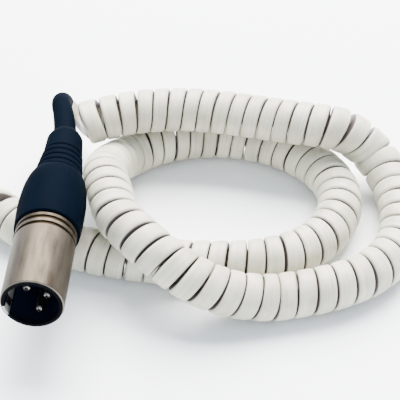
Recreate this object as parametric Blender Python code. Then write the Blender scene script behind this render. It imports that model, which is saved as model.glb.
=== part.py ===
"""Curly microphone cable with a three-pin male plug and a matching female connector.

The cable lies on a table in two loops, one partly on the other. Lengths are in metres, +Z is up, +Y runs
from the plug's pins to its cable and the table is at z = 0.
"""

import math

import bmesh
import bpy
import numpy as np
from mathutils import Euler, Matrix, Quaternion, Vector
from mathutils.kdtree import KDTree

MM = 0.001

# Fits between pieces
SCREW_GAP = 0.3 * MM
PRESS_GAP = 0.2 * MM
PIVOT_GAP = 0.12 * MM
SLIDE_GAP = 0.3 * MM

# Facets round a turned piece
SHELL_SIDES = 24
RELIEF_SIDES = 16
CONTACT_SIDES = 12

# Smooth shading stops at edges sharper than this, and closer corners are joined
SHARP_EDGE = math.radians(35)
JOIN_DISTANCE = 0.001 * MM

# Shells of both connectors
SHELL_DIAMETER = 18.7 * MM
SHELL_WALL = 0.9 * MM
SHELL_EDGE = 0.35 * MM
MALE_EXPOSED = 29.5 * MM
FEMALE_BODY = 24.0 * MM
NOSE_LENGTH = 14.2 * MM
NOSE_WALL = 0.75 * MM
THREAD_STEP = 1.35 * MM
THREAD_LENGTH = 10.0 * MM
THREAD_WALL = 1.1 * MM
GROOVE_WIDTH = 1.2 * MM
GROOVE_DEPTH = 0.5 * MM
GROOVE_LAND = 1.3 * MM
GROOVES = 2

# Inserts and contacts
LINER_WALL = 0.4 * MM
LINER_SETBACK = 0.6 * MM
CAVITY_DEPTH = 14.5 * MM
MALE_INSERT_FLOOR = 6.5 * MM
FEMALE_INSERT_LENGTH = 36.6 * MM
FEMALE_INSERT_SETBACK = 0.4 * MM
CONTACT_RIM = 2.2 * MM
PIN_DIAMETER = 2.4 * MM
PIN_SETBACK = 1.8 * MM
SOCKET_WALL = 0.35 * MM
SOCKET_FIT = 0.05 * MM
SOCKET_DEPTH = 13.0 * MM
CUP_DIAMETER = 3.2 * MM
CUP_BORE = 2.1 * MM
CUP_LENGTH = 5.8 * MM
CUP_DEPTH = 4.5 * MM
KEY_WIDTH = 5.0 * MM
CATCH_FROM_RIM = 3.0 * MM
CATCH_LENGTH = 3.2 * MM
CATCH_DEPTH = 0.4 * MM

# Turn of each contact about the connector's axis; the key lies opposite the third one
CONTACT_ANGLES = (math.radians(90), math.radians(-90), 0.0)
KEY_ANGLE = math.pi

# The contacts are numbered one way round on the plug and the other way round on the far connector
MALE_ORDER = 1
FEMALE_ORDER = -1

# Release latch of the female connector
LATCH_WIDTH = 4.4 * MM
LATCH_THICKNESS = 1.5 * MM
LATCH_DROP = 2.0 * MM
HOOK_LENGTH = 2.4 * MM
BUTTON_FROM_PIVOT = 15.5 * MM
BUTTON_LENGTH = 8.5 * MM
BUTTON_RISE = 1.15 * MM
PIVOT_FROM_BACK = 4.0 * MM
PIVOT_DROP = 1.7 * MM
PIVOT_DIAMETER = 1.4 * MM
EYE_WALL = 0.65 * MM
EYE_FROM = math.radians(60)
EYE_TURN = math.radians(240)
EYE_STEPS = 6
SPRING_ROOM = 2.1 * MM
WINDOW_FROM_PIVOT = 3.5 * MM
SPRING_STRIP = 0.25 * MM
SPRING_LENGTH = 8.0 * MM
SPRING_START = 13.0 * MM
SPRING_WIDTH = 3.0 * MM

# Cable clamp, bushing and bend relief
CHUCK_FLANGE = 1.6 * MM
CHUCK_DIAMETER = 12.4 * MM
CHUCK_CONE = 4.8 * MM
CHUCK_NOSE = 9.2 * MM
CHUCK_SLOT = 1.0 * MM
BUSHING_EDGE_RISE = 0.7 * MM
BUSHING_RISE = 1.1 * MM
BUSHING_TOP = 14.9 * MM
BUSHING_STRAIGHT = 9.5 * MM
BUSHING_LENGTH = 24.4 * MM
BUSHING_STEPS = 5
RIBS = 4
RIB_PITCH = 2.75 * MM
RIB_GROOVE = 0.75 * MM
RIB_CREST = 1.6 * MM
RIB_SLOPE = 0.3 * MM
RIB_FLOOR = 0.5 * MM
RIB_FIRST = 15.4 * MM
RIB_LAST = 12.6 * MM
COLLAR_LENGTH = 7.7 * MM
COLLAR_END = 11.6 * MM
SHOULDER_LENGTH = 3.8 * MM
SHOULDER_HOLLOW = 0.4
SLEEVE_LENGTH = 24.0 * MM
SLEEVE_ROOT = 7.4 * MM
SLEEVE_TIP = 6.1 * MM
SLEEVE_DROP_LENGTH = 10.0 * MM
SLEEVE_STEPS = 9
BEND_RINGS = 14
NECK_LENGTH = 3.0 * MM
NECK_GAP = 1.3 * MM

# Cord: a flat-sided tube wound into a left-handed helix
CORD_WIDTH = 4.8 * MM
CORD_THICKNESS = 4.1 * MM
CORD_FLAT = 0.62
CURL_DIAMETER = 14.5 * MM
CURL_PITCH = 5.75 * MM
CURL_GAP = 0.5 * MM
TABLE_GAP = 0.08 * MM
POINTS_PER_CURL = 8
ROUTE_STEP = 0.5 * MM
ROUTE_SPLITS = 60
BEND_STEPS = 8
CURL_START_TURN = 0.75
CURL_END_TURN = 0.125
LEAD_IN_STEPS = 8
LEAD_IN_PULL = 1.5
LEAD_OUT_STEPS = 9
LEAD_OUT_PULL = 1.6
JACKET_PAST_THREAD = 1.5 * MM
WIRE_DIAMETER = 1.4 * MM
WIRE_CIRCLE = 2.7 * MM
WIRE_STEPS = 8

# Where the row's origin lies on the table, measured from the middle of the view of the loops
ORIGIN = Vector((-68.18 * MM, 15.7 * MM, 0.0))

# Male plug: it lies on the cord's end and beside its left strand
BUSHING_BULGE = SHELL_DIAMETER + 2 * BUSHING_RISE
PLUG_SIDE = -37.65 * MM
RIM_DROP = 0.3 * MM
MALE_RIM = Vector((PLUG_SIDE - BUSHING_BULGE / 2, -73.0 * MM, CURL_DIAMETER + BUSHING_BULGE / 2 - RIM_DROP))
MALE_TILT = math.radians(0.2)
MALE_TURN = math.radians(-3.8)
MALE_ROLL = math.radians(20)

# Bends of the plug's relief, one after the other: length, angle and direction
LEAN_LENGTH = COLLAR_LENGTH + SHOULDER_LENGTH + SLEEVE_LENGTH - SLEEVE_DROP_LENGTH
MALE_BENDS = (
    (LEAN_LENGTH, math.radians(16), math.radians(180)),
    (SLEEVE_DROP_LENGTH, math.radians(60), math.radians(293)),
)
FEMALE_BENDS = ()

# Female connector: the middle of its nose, lying on the table with its latch on top
FEMALE_NOSE = Vector((-91.0 * MM, 105.0 * MM, BUSHING_BULGE / 2))
FEMALE_ROLL = math.radians(-90)

# Middle of the curls, in millimetres from the middle of the view: back, right, front, over the
# crossing, left, then the inner loop and out under the plug
CURL_ROUTE = (
    (-37.8, 13.2, 22.1), (-25.0, 18.0, 22.2), (0.0, 20.0, 22.2), (14.0, 17.6, 22.2),
    (26.0, 14.6, 22.3), (36.0, 12.1, 22.6), (44.5, 11.2, 21.6), (52.0, 11.2, 17.0),
    (58.0, 8.8, 11.8), (63.0, 0.0, 8.0), (65.0, -14.0, 7.3), (62.3, -29.5, 7.3),
    (54.0, -41.0, 7.3), (40.0, -48.8, 7.3), (24.0, -52.8, 7.3), (10.0, -54.6, 10.4),
    (-3.0, -52.8, 15.8), (-13.0, -47.0, 20.2), (-20.4, -40.0, 22.4), (-24.7, -33.8, 22.5),
    (-27.0, -26.8, 22.2), (-28.5, -20.0, 21.7), (-29.9, -13.0, 20.3), (-30.4, -5.4, 17.0),
    (-29.5, 2.4, 12.8), (-27.2, 9.2, 9.3), (-23.0, 14.8, 7.5), (-11.0, 21.6, 7.3),
    (3.0, 24.4, 7.3), (17.0, 22.8, 7.3), (30.0, 17.0, 7.3), (40.0, 7.4, 7.3),
    (45.3, -5.0, 7.3), (43.4, -18.5, 7.3), (35.0, -29.8, 7.3), (21.0, -36.6, 7.3),
    (3.0, -38.2, 7.3), (-33.0, -32.6, 7.3), (-53.0, -23.6, 7.3), (-71.0, -7.6, 7.3),
)


def clear_scene():
    for thing in list(bpy.data.objects):
        bpy.data.objects.remove(thing, do_unlink=True)


def material(name, colour, roughness, metallic=0.0):
    """A Principled BSDF of one colour."""
    made = bpy.data.materials.new(name)
    made.use_nodes = True
    shader = made.node_tree.nodes["Principled BSDF"]
    shader.inputs["Base Color"].default_value = (*colour, 1.0)
    shader.inputs["Roughness"].default_value = roughness
    shader.inputs["Metallic"].default_value = metallic
    return made


def link(name, data, finish, parent=None):
    """A named object in the scene, carried by a connector's frame."""
    made = bpy.data.objects.new(name, data)
    bpy.context.collection.objects.link(made)
    made.parent = parent
    if finish:
        own = finish.copy()
        own.name = f"{name}_{finish.name}"
        data.materials.append(own)
    return made


def finish_mesh(name, shape, finish, parent, smooth=True):
    """Turn a bmesh into an object with its faces pointing out."""
    bmesh.ops.recalc_face_normals(shape, faces=shape.faces)
    mesh = bpy.data.meshes.new(name)
    shape.to_mesh(mesh)
    shape.free()
    if smooth:
        mesh.shade_smooth()
        mesh.set_sharp_from_angle(angle=SHARP_EDGE)
    return link(name, mesh, finish, parent)


def flat_middle(corner):
    """Whether a corner lies on the axis in the middle of a flat end."""
    if corner.co.xy.length > JOIN_DISTANCE:
        return False
    return all(abs(edge.other_vert(corner).co.z - corner.co.z) < JOIN_DISTANCE for edge in corner.link_edges)


def turned(name, profile, finish, parent, sides=SHELL_SIDES, place=(0.0, 0.0)):
    """A turned piece from (radius, depth) points; depth runs back from the mating face along -Z."""
    shape = bmesh.new()
    points = [shape.verts.new((radius, 0.0, -depth)) for radius, depth in profile]
    edges = [shape.edges.new(pair) for pair in zip(points, points[1:])]
    if all(radius > 0 for radius, _ in profile):
        edges.append(shape.edges.new((points[-1], points[0])))
    bmesh.ops.spin(
        shape, geom=points + edges, axis=(0, 0, 1), cent=(0, 0, 0), angle=2 * math.pi,
        steps=sides, use_merge=True, use_duplicate=False,
    )
    bmesh.ops.remove_doubles(shape, verts=shape.verts, dist=JOIN_DISTANCE)
    bmesh.ops.dissolve_verts(shape, verts=[corner for corner in shape.verts if flat_middle(corner)])
    bmesh.ops.translate(shape, verts=shape.verts, vec=(*place, 0.0))
    return finish_mesh(name, shape, finish, parent)


def extruded(name, outline, width, finish, parent):
    """A flat outline of (height, depth) points, extruded evenly to both sides of the middle plane."""
    shape = bmesh.new()
    points = [shape.verts.new((-width / 2, height, -depth)) for height, depth in outline]
    face = shape.faces.new(points)
    grown = bmesh.ops.extrude_face_region(shape, geom=[face])
    moved = [thing for thing in grown["geom"] if isinstance(thing, bmesh.types.BMVert)]
    bmesh.ops.translate(shape, verts=moved, vec=(width, 0.0, 0.0))
    return finish_mesh(name, shape, finish, parent, smooth=False)


def cut(target, cutter):
    """Take a cutter's shape out of a piece, and keep the cutter hidden."""
    cutter.hide_render = True
    cutter.display_type = "WIRE"
    step = target.modifiers.new(cutter.name, "BOOLEAN")
    step.operation = "DIFFERENCE"
    step.solver = "EXACT"
    step.object = cutter


def block_cutter(name, low, high, parent, turn=0.0):
    """A box from its two corners, turned about the connector's axis."""
    shape = bmesh.new()
    bmesh.ops.create_cube(shape, size=1.0)
    middle = (Vector(low) + Vector(high)) / 2
    size = Vector(high) - Vector(low)
    bmesh.ops.scale(shape, verts=shape.verts, vec=size)
    bmesh.ops.translate(shape, verts=shape.verts, vec=middle)
    bmesh.ops.rotate(shape, verts=shape.verts, cent=(0, 0, 0), matrix=Matrix.Rotation(turn, 3, "Z"))
    return finish_mesh(name, shape, None, parent, smooth=False)


def round_cutter(name, radius, start, end, parent, place, sides=CONTACT_SIDES):
    """A straight hole along the connector's axis."""
    profile = ((0.0, start), (radius, start), (radius, end), (0.0, end))
    return turned(name, profile, None, parent, sides, place)


def cross_cylinder(name, radius, half_length, height, depth, finish, parent):
    """A round bar across the connector, from side to side."""
    shape = bmesh.new()
    bmesh.ops.create_cone(
        shape, cap_ends=True, segments=CONTACT_SIDES, radius1=radius, radius2=radius,
        depth=2 * half_length, matrix=Matrix.Rotation(math.pi / 2, 4, "Y"),
    )
    bmesh.ops.translate(shape, verts=shape.verts, vec=(0.0, height, -depth))
    return finish_mesh(name, shape, finish, parent)


def connector_frame(name, place, angles):
    """An empty in the middle of a connector's mating face, with +Z pointing out of the face."""
    frame = bpy.data.objects.new(name, None)
    bpy.context.collection.objects.link(frame)
    frame.location = place - ORIGIN
    frame.rotation_euler = angles
    return frame


def contact_places(circle, roll, order):
    """Where the three contacts or wires cross a plane square to the connector's axis."""
    turns = [order * angle + roll for angle in CONTACT_ANGLES]
    return [(circle / 2 * math.cos(turn), circle / 2 * math.sin(turn)) for turn in turns]


SHELL_RADIUS = SHELL_DIAMETER / 2
SHELL_BORE = SHELL_RADIUS - SHELL_WALL
LINER_RADIUS = SHELL_BORE - PRESS_GAP
LINER_BORE = LINER_RADIUS - LINER_WALL
BUSHING_EDGE = SHELL_RADIUS + BUSHING_EDGE_RISE
THREAD_RADIUS = SHELL_RADIUS - THREAD_STEP
THREAD_BORE = THREAD_RADIUS - THREAD_WALL
NOSE_RADIUS = LINER_BORE - PRESS_GAP
NOSE_BORE = NOSE_RADIUS - NOSE_WALL
FEMALE_INSERT_RADIUS = NOSE_BORE - PRESS_GAP
MALE_INSERT_END = CAVITY_DEPTH + MALE_INSERT_FLOOR
FEMALE_INSERT_END = FEMALE_INSERT_SETBACK + FEMALE_INSERT_LENGTH
FEMALE_EXPOSED = NOSE_LENGTH + FEMALE_BODY
PIN_RADIUS = PIN_DIAMETER / 2
SOCKET_BORE = PIN_RADIUS + SOCKET_FIT
SOCKET_RADIUS = SOCKET_BORE + SOCKET_WALL
CORD_RADIUS = max(CORD_WIDTH, CORD_THICKNESS) / 2
CORD_BORE = CORD_RADIUS + SCREW_GAP
LATCH_SLOT = LATCH_WIDTH / 2 + SLIDE_GAP
CATCH_RADIUS = SHELL_BORE + CATCH_DEPTH
CONTACT_CIRCLE = 2 * (FEMALE_INSERT_RADIUS - CONTACT_RIM)
LATCH_BOTTOM = FEMALE_INSERT_RADIUS - LATCH_DROP
LATCH_GROOVE_FLOOR = LATCH_BOTTOM - SPRING_ROOM
PIVOT_HEIGHT = FEMALE_INSERT_RADIUS - PIVOT_DROP
PIVOT_DEPTH = FEMALE_INSERT_END - PIVOT_FROM_BACK
BUTTON_START = PIVOT_DEPTH - BUTTON_FROM_PIVOT
LATCH_WINDOW_END = PIVOT_DEPTH - WINDOW_FROM_PIVOT
CHUCK_BODY = BUSHING_LENGTH - THREAD_LENGTH - CHUCK_FLANGE - CHUCK_CONE - NECK_LENGTH - NECK_GAP
HOOK_START = NOSE_LENGTH - CATCH_FROM_RIM - CATCH_LENGTH + SLIDE_GAP


def grooved_barrel(start, end):
    """The outside of a shell's barrel, with its grooves just in front of the bushing."""
    points = [(SHELL_RADIUS - SHELL_EDGE, start), (SHELL_RADIUS, start + SHELL_EDGE)]
    first = end - GROOVES * (GROOVE_WIDTH + GROOVE_LAND)
    for step in range(GROOVES):
        front = first + step * (GROOVE_WIDTH + GROOVE_LAND)
        back = front + GROOVE_WIDTH
        floor = SHELL_RADIUS - GROOVE_DEPTH
        points += [(SHELL_RADIUS, front), (floor, front), (floor, back), (SHELL_RADIUS, back)]
    return points + [(SHELL_RADIUS, end)]


def thread_tail(exposed):
    """The back of a shell, which the bushing screws over."""
    end = exposed + THREAD_LENGTH
    return [(THREAD_RADIUS, exposed), (THREAD_RADIUS, end - SHELL_EDGE), (THREAD_RADIUS - SHELL_EDGE, end)]


def male_shell(finish, frame):
    """Barrel with a stepped bore and a catch for the mating latch."""
    profile = grooved_barrel(0.0, MALE_EXPOSED) + thread_tail(MALE_EXPOSED)
    step = MALE_INSERT_END + PRESS_GAP
    profile += [(THREAD_BORE, MALE_EXPOSED + THREAD_LENGTH), (THREAD_BORE, step), (SHELL_BORE, step)]
    profile += [(SHELL_BORE, SHELL_EDGE), (SHELL_BORE + SHELL_EDGE, 0.0)]
    shell = turned("male_shell", profile, finish, frame)
    low = (0.0, -KEY_WIDTH / 2, -CATCH_FROM_RIM - CATCH_LENGTH)
    high = (CATCH_RADIUS, KEY_WIDTH / 2, -CATCH_FROM_RIM)
    cut(shell, block_cutter("male_catch_cutter", low, high, frame, KEY_ANGLE + MALE_ROLL))


def male_insert(finish, frame):
    """Cup that lines the barrel, with the contact holes in its floor and a slot for the mating key."""
    profile = (
        (0.0, MALE_INSERT_END), (LINER_RADIUS, MALE_INSERT_END), (LINER_RADIUS, LINER_SETBACK),
        (LINER_BORE, LINER_SETBACK), (LINER_BORE, CAVITY_DEPTH), (0.0, CAVITY_DEPTH),
    )
    insert = turned("male_insert", profile, finish, frame)
    hole = PIN_RADIUS + PRESS_GAP
    for number, place in enumerate(contact_places(CONTACT_CIRCLE, MALE_ROLL, MALE_ORDER), 1):
        ends = (CAVITY_DEPTH - hole, MALE_INSERT_END + hole)
        cut(insert, round_cutter(f"male_insert_hole_{number}", hole, *ends, frame, place))
    low = (LINER_BORE - KEY_WIDTH / 2, -KEY_WIDTH / 2, -CAVITY_DEPTH)
    high = (LINER_RADIUS + KEY_WIDTH / 2, KEY_WIDTH / 2, 0.0)
    cut(insert, block_cutter("male_key_cutter", low, high, frame, KEY_ANGLE + MALE_ROLL))


def solder_cup(start):
    """The back of a contact: a cup that its wire is soldered into."""
    end = start + CUP_LENGTH
    floor = end - CUP_DEPTH
    return [(CUP_DIAMETER / 2, start), (CUP_DIAMETER / 2, end), (CUP_BORE / 2, end), (CUP_BORE / 2, floor)]


def male_contacts(finish, frame):
    """Three pins with round tips."""
    cup_start = MALE_INSERT_END + PRESS_GAP
    tip = [
        (PIN_RADIUS * math.sin(angle), PIN_SETBACK + PIN_RADIUS * (1 - math.cos(angle)))
        for angle in (0.0, math.radians(35), math.radians(65), math.radians(90))
    ]
    cup = solder_cup(cup_start)
    profile = tip + [(PIN_RADIUS, cup_start)] + cup + [(0.0, cup[-1][1])]
    for number, place in enumerate(contact_places(CONTACT_CIRCLE, MALE_ROLL, MALE_ORDER), 1):
        turned(f"male_pin_{number}", profile, finish, frame, CONTACT_SIDES, place)


def female_shell(finish, frame):
    """Body with a nose, a straight bore and a window for the latch."""
    nose = [(NOSE_RADIUS - SHELL_EDGE, 0.0), (NOSE_RADIUS, SHELL_EDGE), (NOSE_RADIUS, NOSE_LENGTH)]
    profile = nose + grooved_barrel(NOSE_LENGTH, FEMALE_EXPOSED) + thread_tail(FEMALE_EXPOSED)
    profile += [(NOSE_BORE, FEMALE_EXPOSED + THREAD_LENGTH), (NOSE_BORE, 0.0)]
    shell = turned("female_shell", profile, finish, frame)
    low = (-LATCH_SLOT, 0.0, -LATCH_WINDOW_END)
    high = (LATCH_SLOT, SHELL_DIAMETER, -HOOK_START + SLIDE_GAP)
    cut(shell, block_cutter("female_window_cutter", low, high, frame))


def female_insert(finish, frame):
    """Round block with the contact holes, a groove for the latch and a hole for its pivot."""
    profile = (
        (0.0, FEMALE_INSERT_END), (FEMALE_INSERT_RADIUS, FEMALE_INSERT_END),
        (FEMALE_INSERT_RADIUS, FEMALE_INSERT_SETBACK), (0.0, FEMALE_INSERT_SETBACK),
    )
    insert = turned("female_insert", profile, finish, frame)
    hole = SOCKET_RADIUS + PRESS_GAP
    for number, place in enumerate(contact_places(CONTACT_CIRCLE, FEMALE_ROLL, FEMALE_ORDER), 1):
        ends = (-hole, FEMALE_INSERT_END + hole)
        cut(insert, round_cutter(f"female_insert_hole_{number}", hole, *ends, frame, place))
    low = (-LATCH_SLOT, LATCH_GROOVE_FLOOR, -FEMALE_INSERT_END - SLIDE_GAP)
    high = (LATCH_SLOT, SHELL_DIAMETER, -HOOK_START + SLIDE_GAP)
    cut(insert, block_cutter("female_groove_cutter", low, high, frame))
    bore = PIVOT_DIAMETER / 2 + PIVOT_GAP
    ends = (bore, SHELL_DIAMETER, PIVOT_HEIGHT, PIVOT_DEPTH)
    cut(insert, cross_cylinder("female_pivot_cutter", *ends, None, frame))


def female_contacts(finish, frame):
    """Three sockets with solder cups."""
    start = FEMALE_INSERT_SETBACK
    cup_start = FEMALE_INSERT_END + PRESS_GAP
    cup = solder_cup(cup_start)
    bore = [(0.0, SOCKET_DEPTH), (SOCKET_BORE, SOCKET_DEPTH), (SOCKET_BORE, start), (SOCKET_RADIUS, start)]
    profile = bore + [(SOCKET_RADIUS, cup_start)] + cup + [(0.0, cup[-1][1])]
    for number, place in enumerate(contact_places(CONTACT_CIRCLE, FEMALE_ROLL, FEMALE_ORDER), 1):
        turned(f"female_socket_{number}", profile, finish, frame, CONTACT_SIDES, place)


def female_latch(finish, frame):
    """Lever with a hook at its front, a button in its middle and an eye at its back."""
    pivot = bpy.data.objects.new("female_latch_pivot", None)
    bpy.context.collection.objects.link(pivot)
    pivot.parent = frame
    pivot.location = (0.0, PIVOT_HEIGHT, -PIVOT_DEPTH)
    bottom = LATCH_BOTTOM
    strip = bottom + LATCH_THICKNESS
    hook = CATCH_RADIUS - PRESS_GAP
    button = SHELL_RADIUS + BUTTON_RISE
    hook_end = HOOK_START + HOOK_LENGTH
    button_end = BUTTON_START + BUTTON_LENGTH
    bevel = LATCH_THICKNESS / 2
    eye = PIVOT_DIAMETER / 2 + PIVOT_GAP + EYE_WALL
    outline = [(bottom, HOOK_START), (strip, HOOK_START), (hook, HOOK_START + bevel), (hook, hook_end)]
    outline += [(strip, hook_end), (strip, BUTTON_START), (button - bevel, BUTTON_START)]
    outline += [(button, BUTTON_START + bevel), (button, button_end - bevel), (button - bevel, button_end)]
    outline += [(strip, button_end), (strip, PIVOT_DEPTH - eye)]
    for step in range(EYE_STEPS + 1):
        angle = EYE_FROM - EYE_TURN * step / EYE_STEPS
        outline.append((PIVOT_HEIGHT + eye * math.sin(angle), PIVOT_DEPTH + eye * math.cos(angle)))
    outline.append((bottom, PIVOT_DEPTH - eye))
    placed = [(height - PIVOT_HEIGHT, depth - PIVOT_DEPTH) for height, depth in outline]
    latch = extruded("female_latch", placed, LATCH_WIDTH, finish, pivot)
    bore = PIVOT_DIAMETER / 2 + PIVOT_GAP
    cut(latch, cross_cylinder("female_eye_cutter", bore, LATCH_WIDTH, 0.0, 0.0, None, pivot))


def female_latch_pin(finish, frame):
    """Round pin across the insert, through the lever's eye."""
    half = math.sqrt(FEMALE_INSERT_RADIUS**2 - (PIVOT_HEIGHT + PIVOT_DIAMETER / 2) ** 2)
    ends = (PIVOT_DIAMETER / 2, half, PIVOT_HEIGHT, PIVOT_DEPTH)
    cross_cylinder("female_latch_pin", *ends, finish, frame)


def female_latch_spring(finish, frame):
    """Folded leaf between the groove's floor and the lever."""
    low = LATCH_GROOVE_FLOOR + SLIDE_GAP
    top = LATCH_BOTTOM - SLIDE_GAP
    back = SPRING_START + SPRING_LENGTH
    outline = [
        (low, SPRING_START), (low, back), (low + 2 * SPRING_STRIP, back + SPRING_STRIP),
        (low + 3 * SPRING_STRIP, back), (top, SPRING_START + SPRING_STRIP),
        (top - SPRING_STRIP, SPRING_START),
        (low + 2 * SPRING_STRIP, back - SPRING_STRIP), (low + SPRING_STRIP, back - SPRING_STRIP),
        (low + SPRING_STRIP, SPRING_START),
    ]
    extruded("female_latch_spring", outline, SPRING_WIDTH, finish, frame)


def chuck_start(exposed):
    return exposed + THREAD_LENGTH + SCREW_GAP


def chuck(name, exposed, finish, frame):
    """Clamp with a flange against the shell's tail and four jaws that the bushing presses on the cord."""
    start = chuck_start(exposed)
    body = start + CHUCK_FLANGE
    cone = body + CHUCK_BODY
    end = cone + CHUCK_CONE
    profile = (
        (CORD_BORE, start), (CORD_BORE, end), (CHUCK_NOSE / 2, end), (CHUCK_DIAMETER / 2, cone),
        (CHUCK_DIAMETER / 2, body), (THREAD_RADIUS - SHELL_EDGE, body), (THREAD_RADIUS - SHELL_EDGE, start),
    )
    made = turned(name, profile, finish, frame)
    for turn in (0.0, math.pi / 2):
        low = (-CHUCK_DIAMETER, -CHUCK_SLOT / 2, -end - CHUCK_SLOT)
        high = (CHUCK_DIAMETER, CHUCK_SLOT / 2, -body - CHUCK_SLOT)
        cut(made, block_cutter(f"{name}_slot_{turn:.1f}", low, high, frame, turn + math.pi / 4))


def bushing_end(exposed):
    return exposed + SCREW_GAP + BUSHING_LENGTH


def bushing(name, exposed, finish, frame):
    """Smooth collar: straight over the thread, then a round shoulder down to the bend relief."""
    start = exposed + SCREW_GAP
    end = bushing_end(exposed)
    flange = chuck_start(exposed) + CHUCK_FLANGE + SCREW_GAP
    cone = flange + CHUCK_BODY
    nose = cone + CHUCK_CONE
    outside = [(BUSHING_EDGE - SHELL_EDGE, start), (BUSHING_EDGE, start + SHELL_EDGE)]
    outside += [(BUSHING_BULGE / 2, start + BUSHING_STRAIGHT / 2)]
    round_length = BUSHING_LENGTH - BUSHING_STRAIGHT
    round_drop = (BUSHING_BULGE - BUSHING_TOP) / 2
    for step in range(BUSHING_STEPS + 1):
        angle = math.pi / 2 * step / BUSHING_STEPS
        radius = BUSHING_BULGE / 2 - round_drop * (1 - math.cos(angle))
        outside.append((radius, start + BUSHING_STRAIGHT + round_length * math.sin(angle)))
    inside = [
        (CHUCK_NOSE / 2 + SCREW_GAP, end), (CHUCK_NOSE / 2 + SCREW_GAP, nose),
        (CHUCK_DIAMETER / 2 + SCREW_GAP, cone), (CHUCK_DIAMETER / 2 + SCREW_GAP, flange),
        (THREAD_RADIUS + SCREW_GAP, flange), (THREAD_RADIUS + SCREW_GAP, start),
    ]
    turned(name, outside + inside, finish, frame)


def relief_length():
    return RIBS * RIB_PITCH + COLLAR_LENGTH + SHOULDER_LENGTH + SLEEVE_LENGTH


def relief_end(exposed):
    return bushing_end(exposed) + SCREW_GAP + relief_length()


def bends_start(exposed, bends):
    return relief_end(exposed) - sum(length for length, _, _ in bends)


def bent(depth, exposed, bends):
    """Middle of the bend relief at a depth, and its turn there, after the bends up to that depth."""
    start = bends_start(exposed, bends)
    past = max(0.0, depth - start)
    back = Vector((0.0, 0.0, -1.0))
    middle = back * min(depth, start)
    turn = Quaternion()
    for length, angle, direction in bends:
        share = min(past, length) / length
        past = max(0.0, past - length)
        sideways = Vector((math.cos(direction), math.sin(direction), 0.0))
        radius = length / angle
        along = back * radius * math.sin(angle * share)
        aside = sideways * radius * (1 - math.cos(angle * share))
        middle = middle + turn @ (along + aside)
        turn = turn @ Quaternion(back.cross(sideways), angle * share)
    return middle, turn


def bend_relief(name, exposed, bends, finish, frame):
    """Ribbed rubber piece with a collar, a shoulder and a thin sleeve round the cord."""
    start = bushing_end(exposed) + SCREW_GAP
    neck = bushing_end(exposed) - NECK_LENGTH
    neck_radius = CHUCK_NOSE / 2
    outside = [(neck_radius, neck), (neck_radius, start)]
    for rib in range(RIBS):
        crest = (RIB_FIRST + (RIB_LAST - RIB_FIRST) * rib / RIBS) / 2
        front = start + rib * RIB_PITCH
        floor = front + RIB_CREST + RIB_SLOPE
        outside += [(crest, front), (crest, front + RIB_CREST)]
        outside += [(crest - RIB_GROOVE, floor), (crest - RIB_GROOVE, floor + RIB_FLOOR)]
    collar = start + RIBS * RIB_PITCH
    shoulder = collar + COLLAR_LENGTH
    sleeve = shoulder + SHOULDER_LENGTH
    end = relief_end(exposed)
    outside += [(RIB_LAST / 2, collar), (COLLAR_END / 2, shoulder)]
    halfway = COLLAR_END / 2 + SHOULDER_HOLLOW * (SLEEVE_ROOT - COLLAR_END) / 2
    outside += [(halfway, shoulder + SHOULDER_LENGTH / 2)]
    steps = [sleeve + (end - sleeve) * step / SLEEVE_STEPS for step in range(SLEEVE_STEPS)]
    taper = (SLEEVE_TIP - SLEEVE_ROOT) / 2 / (end - sleeve)
    outside += [(SLEEVE_ROOT / 2 + taper * (depth - sleeve), depth) for depth in steps]
    tip_edge = (SLEEVE_TIP / 2 - CORD_BORE) / 2
    outside += [(SLEEVE_TIP / 2, end - tip_edge), (SLEEVE_TIP / 2 - tip_edge, end)]
    inside = [(CORD_BORE, depth) for depth in (end, *steps[::-1], shoulder, collar, neck)]
    made = turned(name, outside + inside, finish, frame, RELIEF_SIDES)
    for corner in made.data.vertices:
        middle, turn = bent(-corner.co.z, exposed, bends)
        corner.co = middle + turn @ Vector((corner.co.x, corner.co.y, 0.0))


def jacket_end(exposed):
    return exposed + THREAD_LENGTH + JACKET_PAST_THREAD


def wires(name, cup_start, exposed, roll, order, finishes, frame):
    """Three insulated conductors from the jacket's end to the solder cups."""
    first = cup_start + CUP_LENGTH - CUP_DEPTH + SLIDE_GAP
    leave = cup_start + CUP_LENGTH
    join = jacket_end(exposed) - WIRE_DIAMETER
    last = jacket_end(exposed) - SLIDE_GAP
    cups = contact_places(CONTACT_CIRCLE, roll, order)
    cores = contact_places(WIRE_CIRCLE, roll, order)
    for number, (cup, core) in enumerate(zip(cups, cores), 1):
        curve = bpy.data.curves.new(f"{name}_{number}", "CURVE")
        curve.dimensions = "3D"
        curve.bevel_depth = WIRE_DIAMETER / 2
        curve.bevel_resolution = 1
        curve.use_fill_caps = True
        spline = curve.splines.new("POLY")
        points = [(*cup, -first)]
        for step in range(WIRE_STEPS + 1):
            share = step / WIRE_STEPS
            ease = share * share * (3 - 2 * share)
            across = Vector(cup).lerp(Vector(core), ease)
            points.append((*across, -(leave + (join - leave) * share)))
        points.append((*core, -last))
        spline.points.add(len(points) - 1)
        for point, place in zip(spline.points, points):
            point.co = (*place, 1.0)
        link(f"{name}_{number}", curve, finishes[number - 1], frame)


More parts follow.
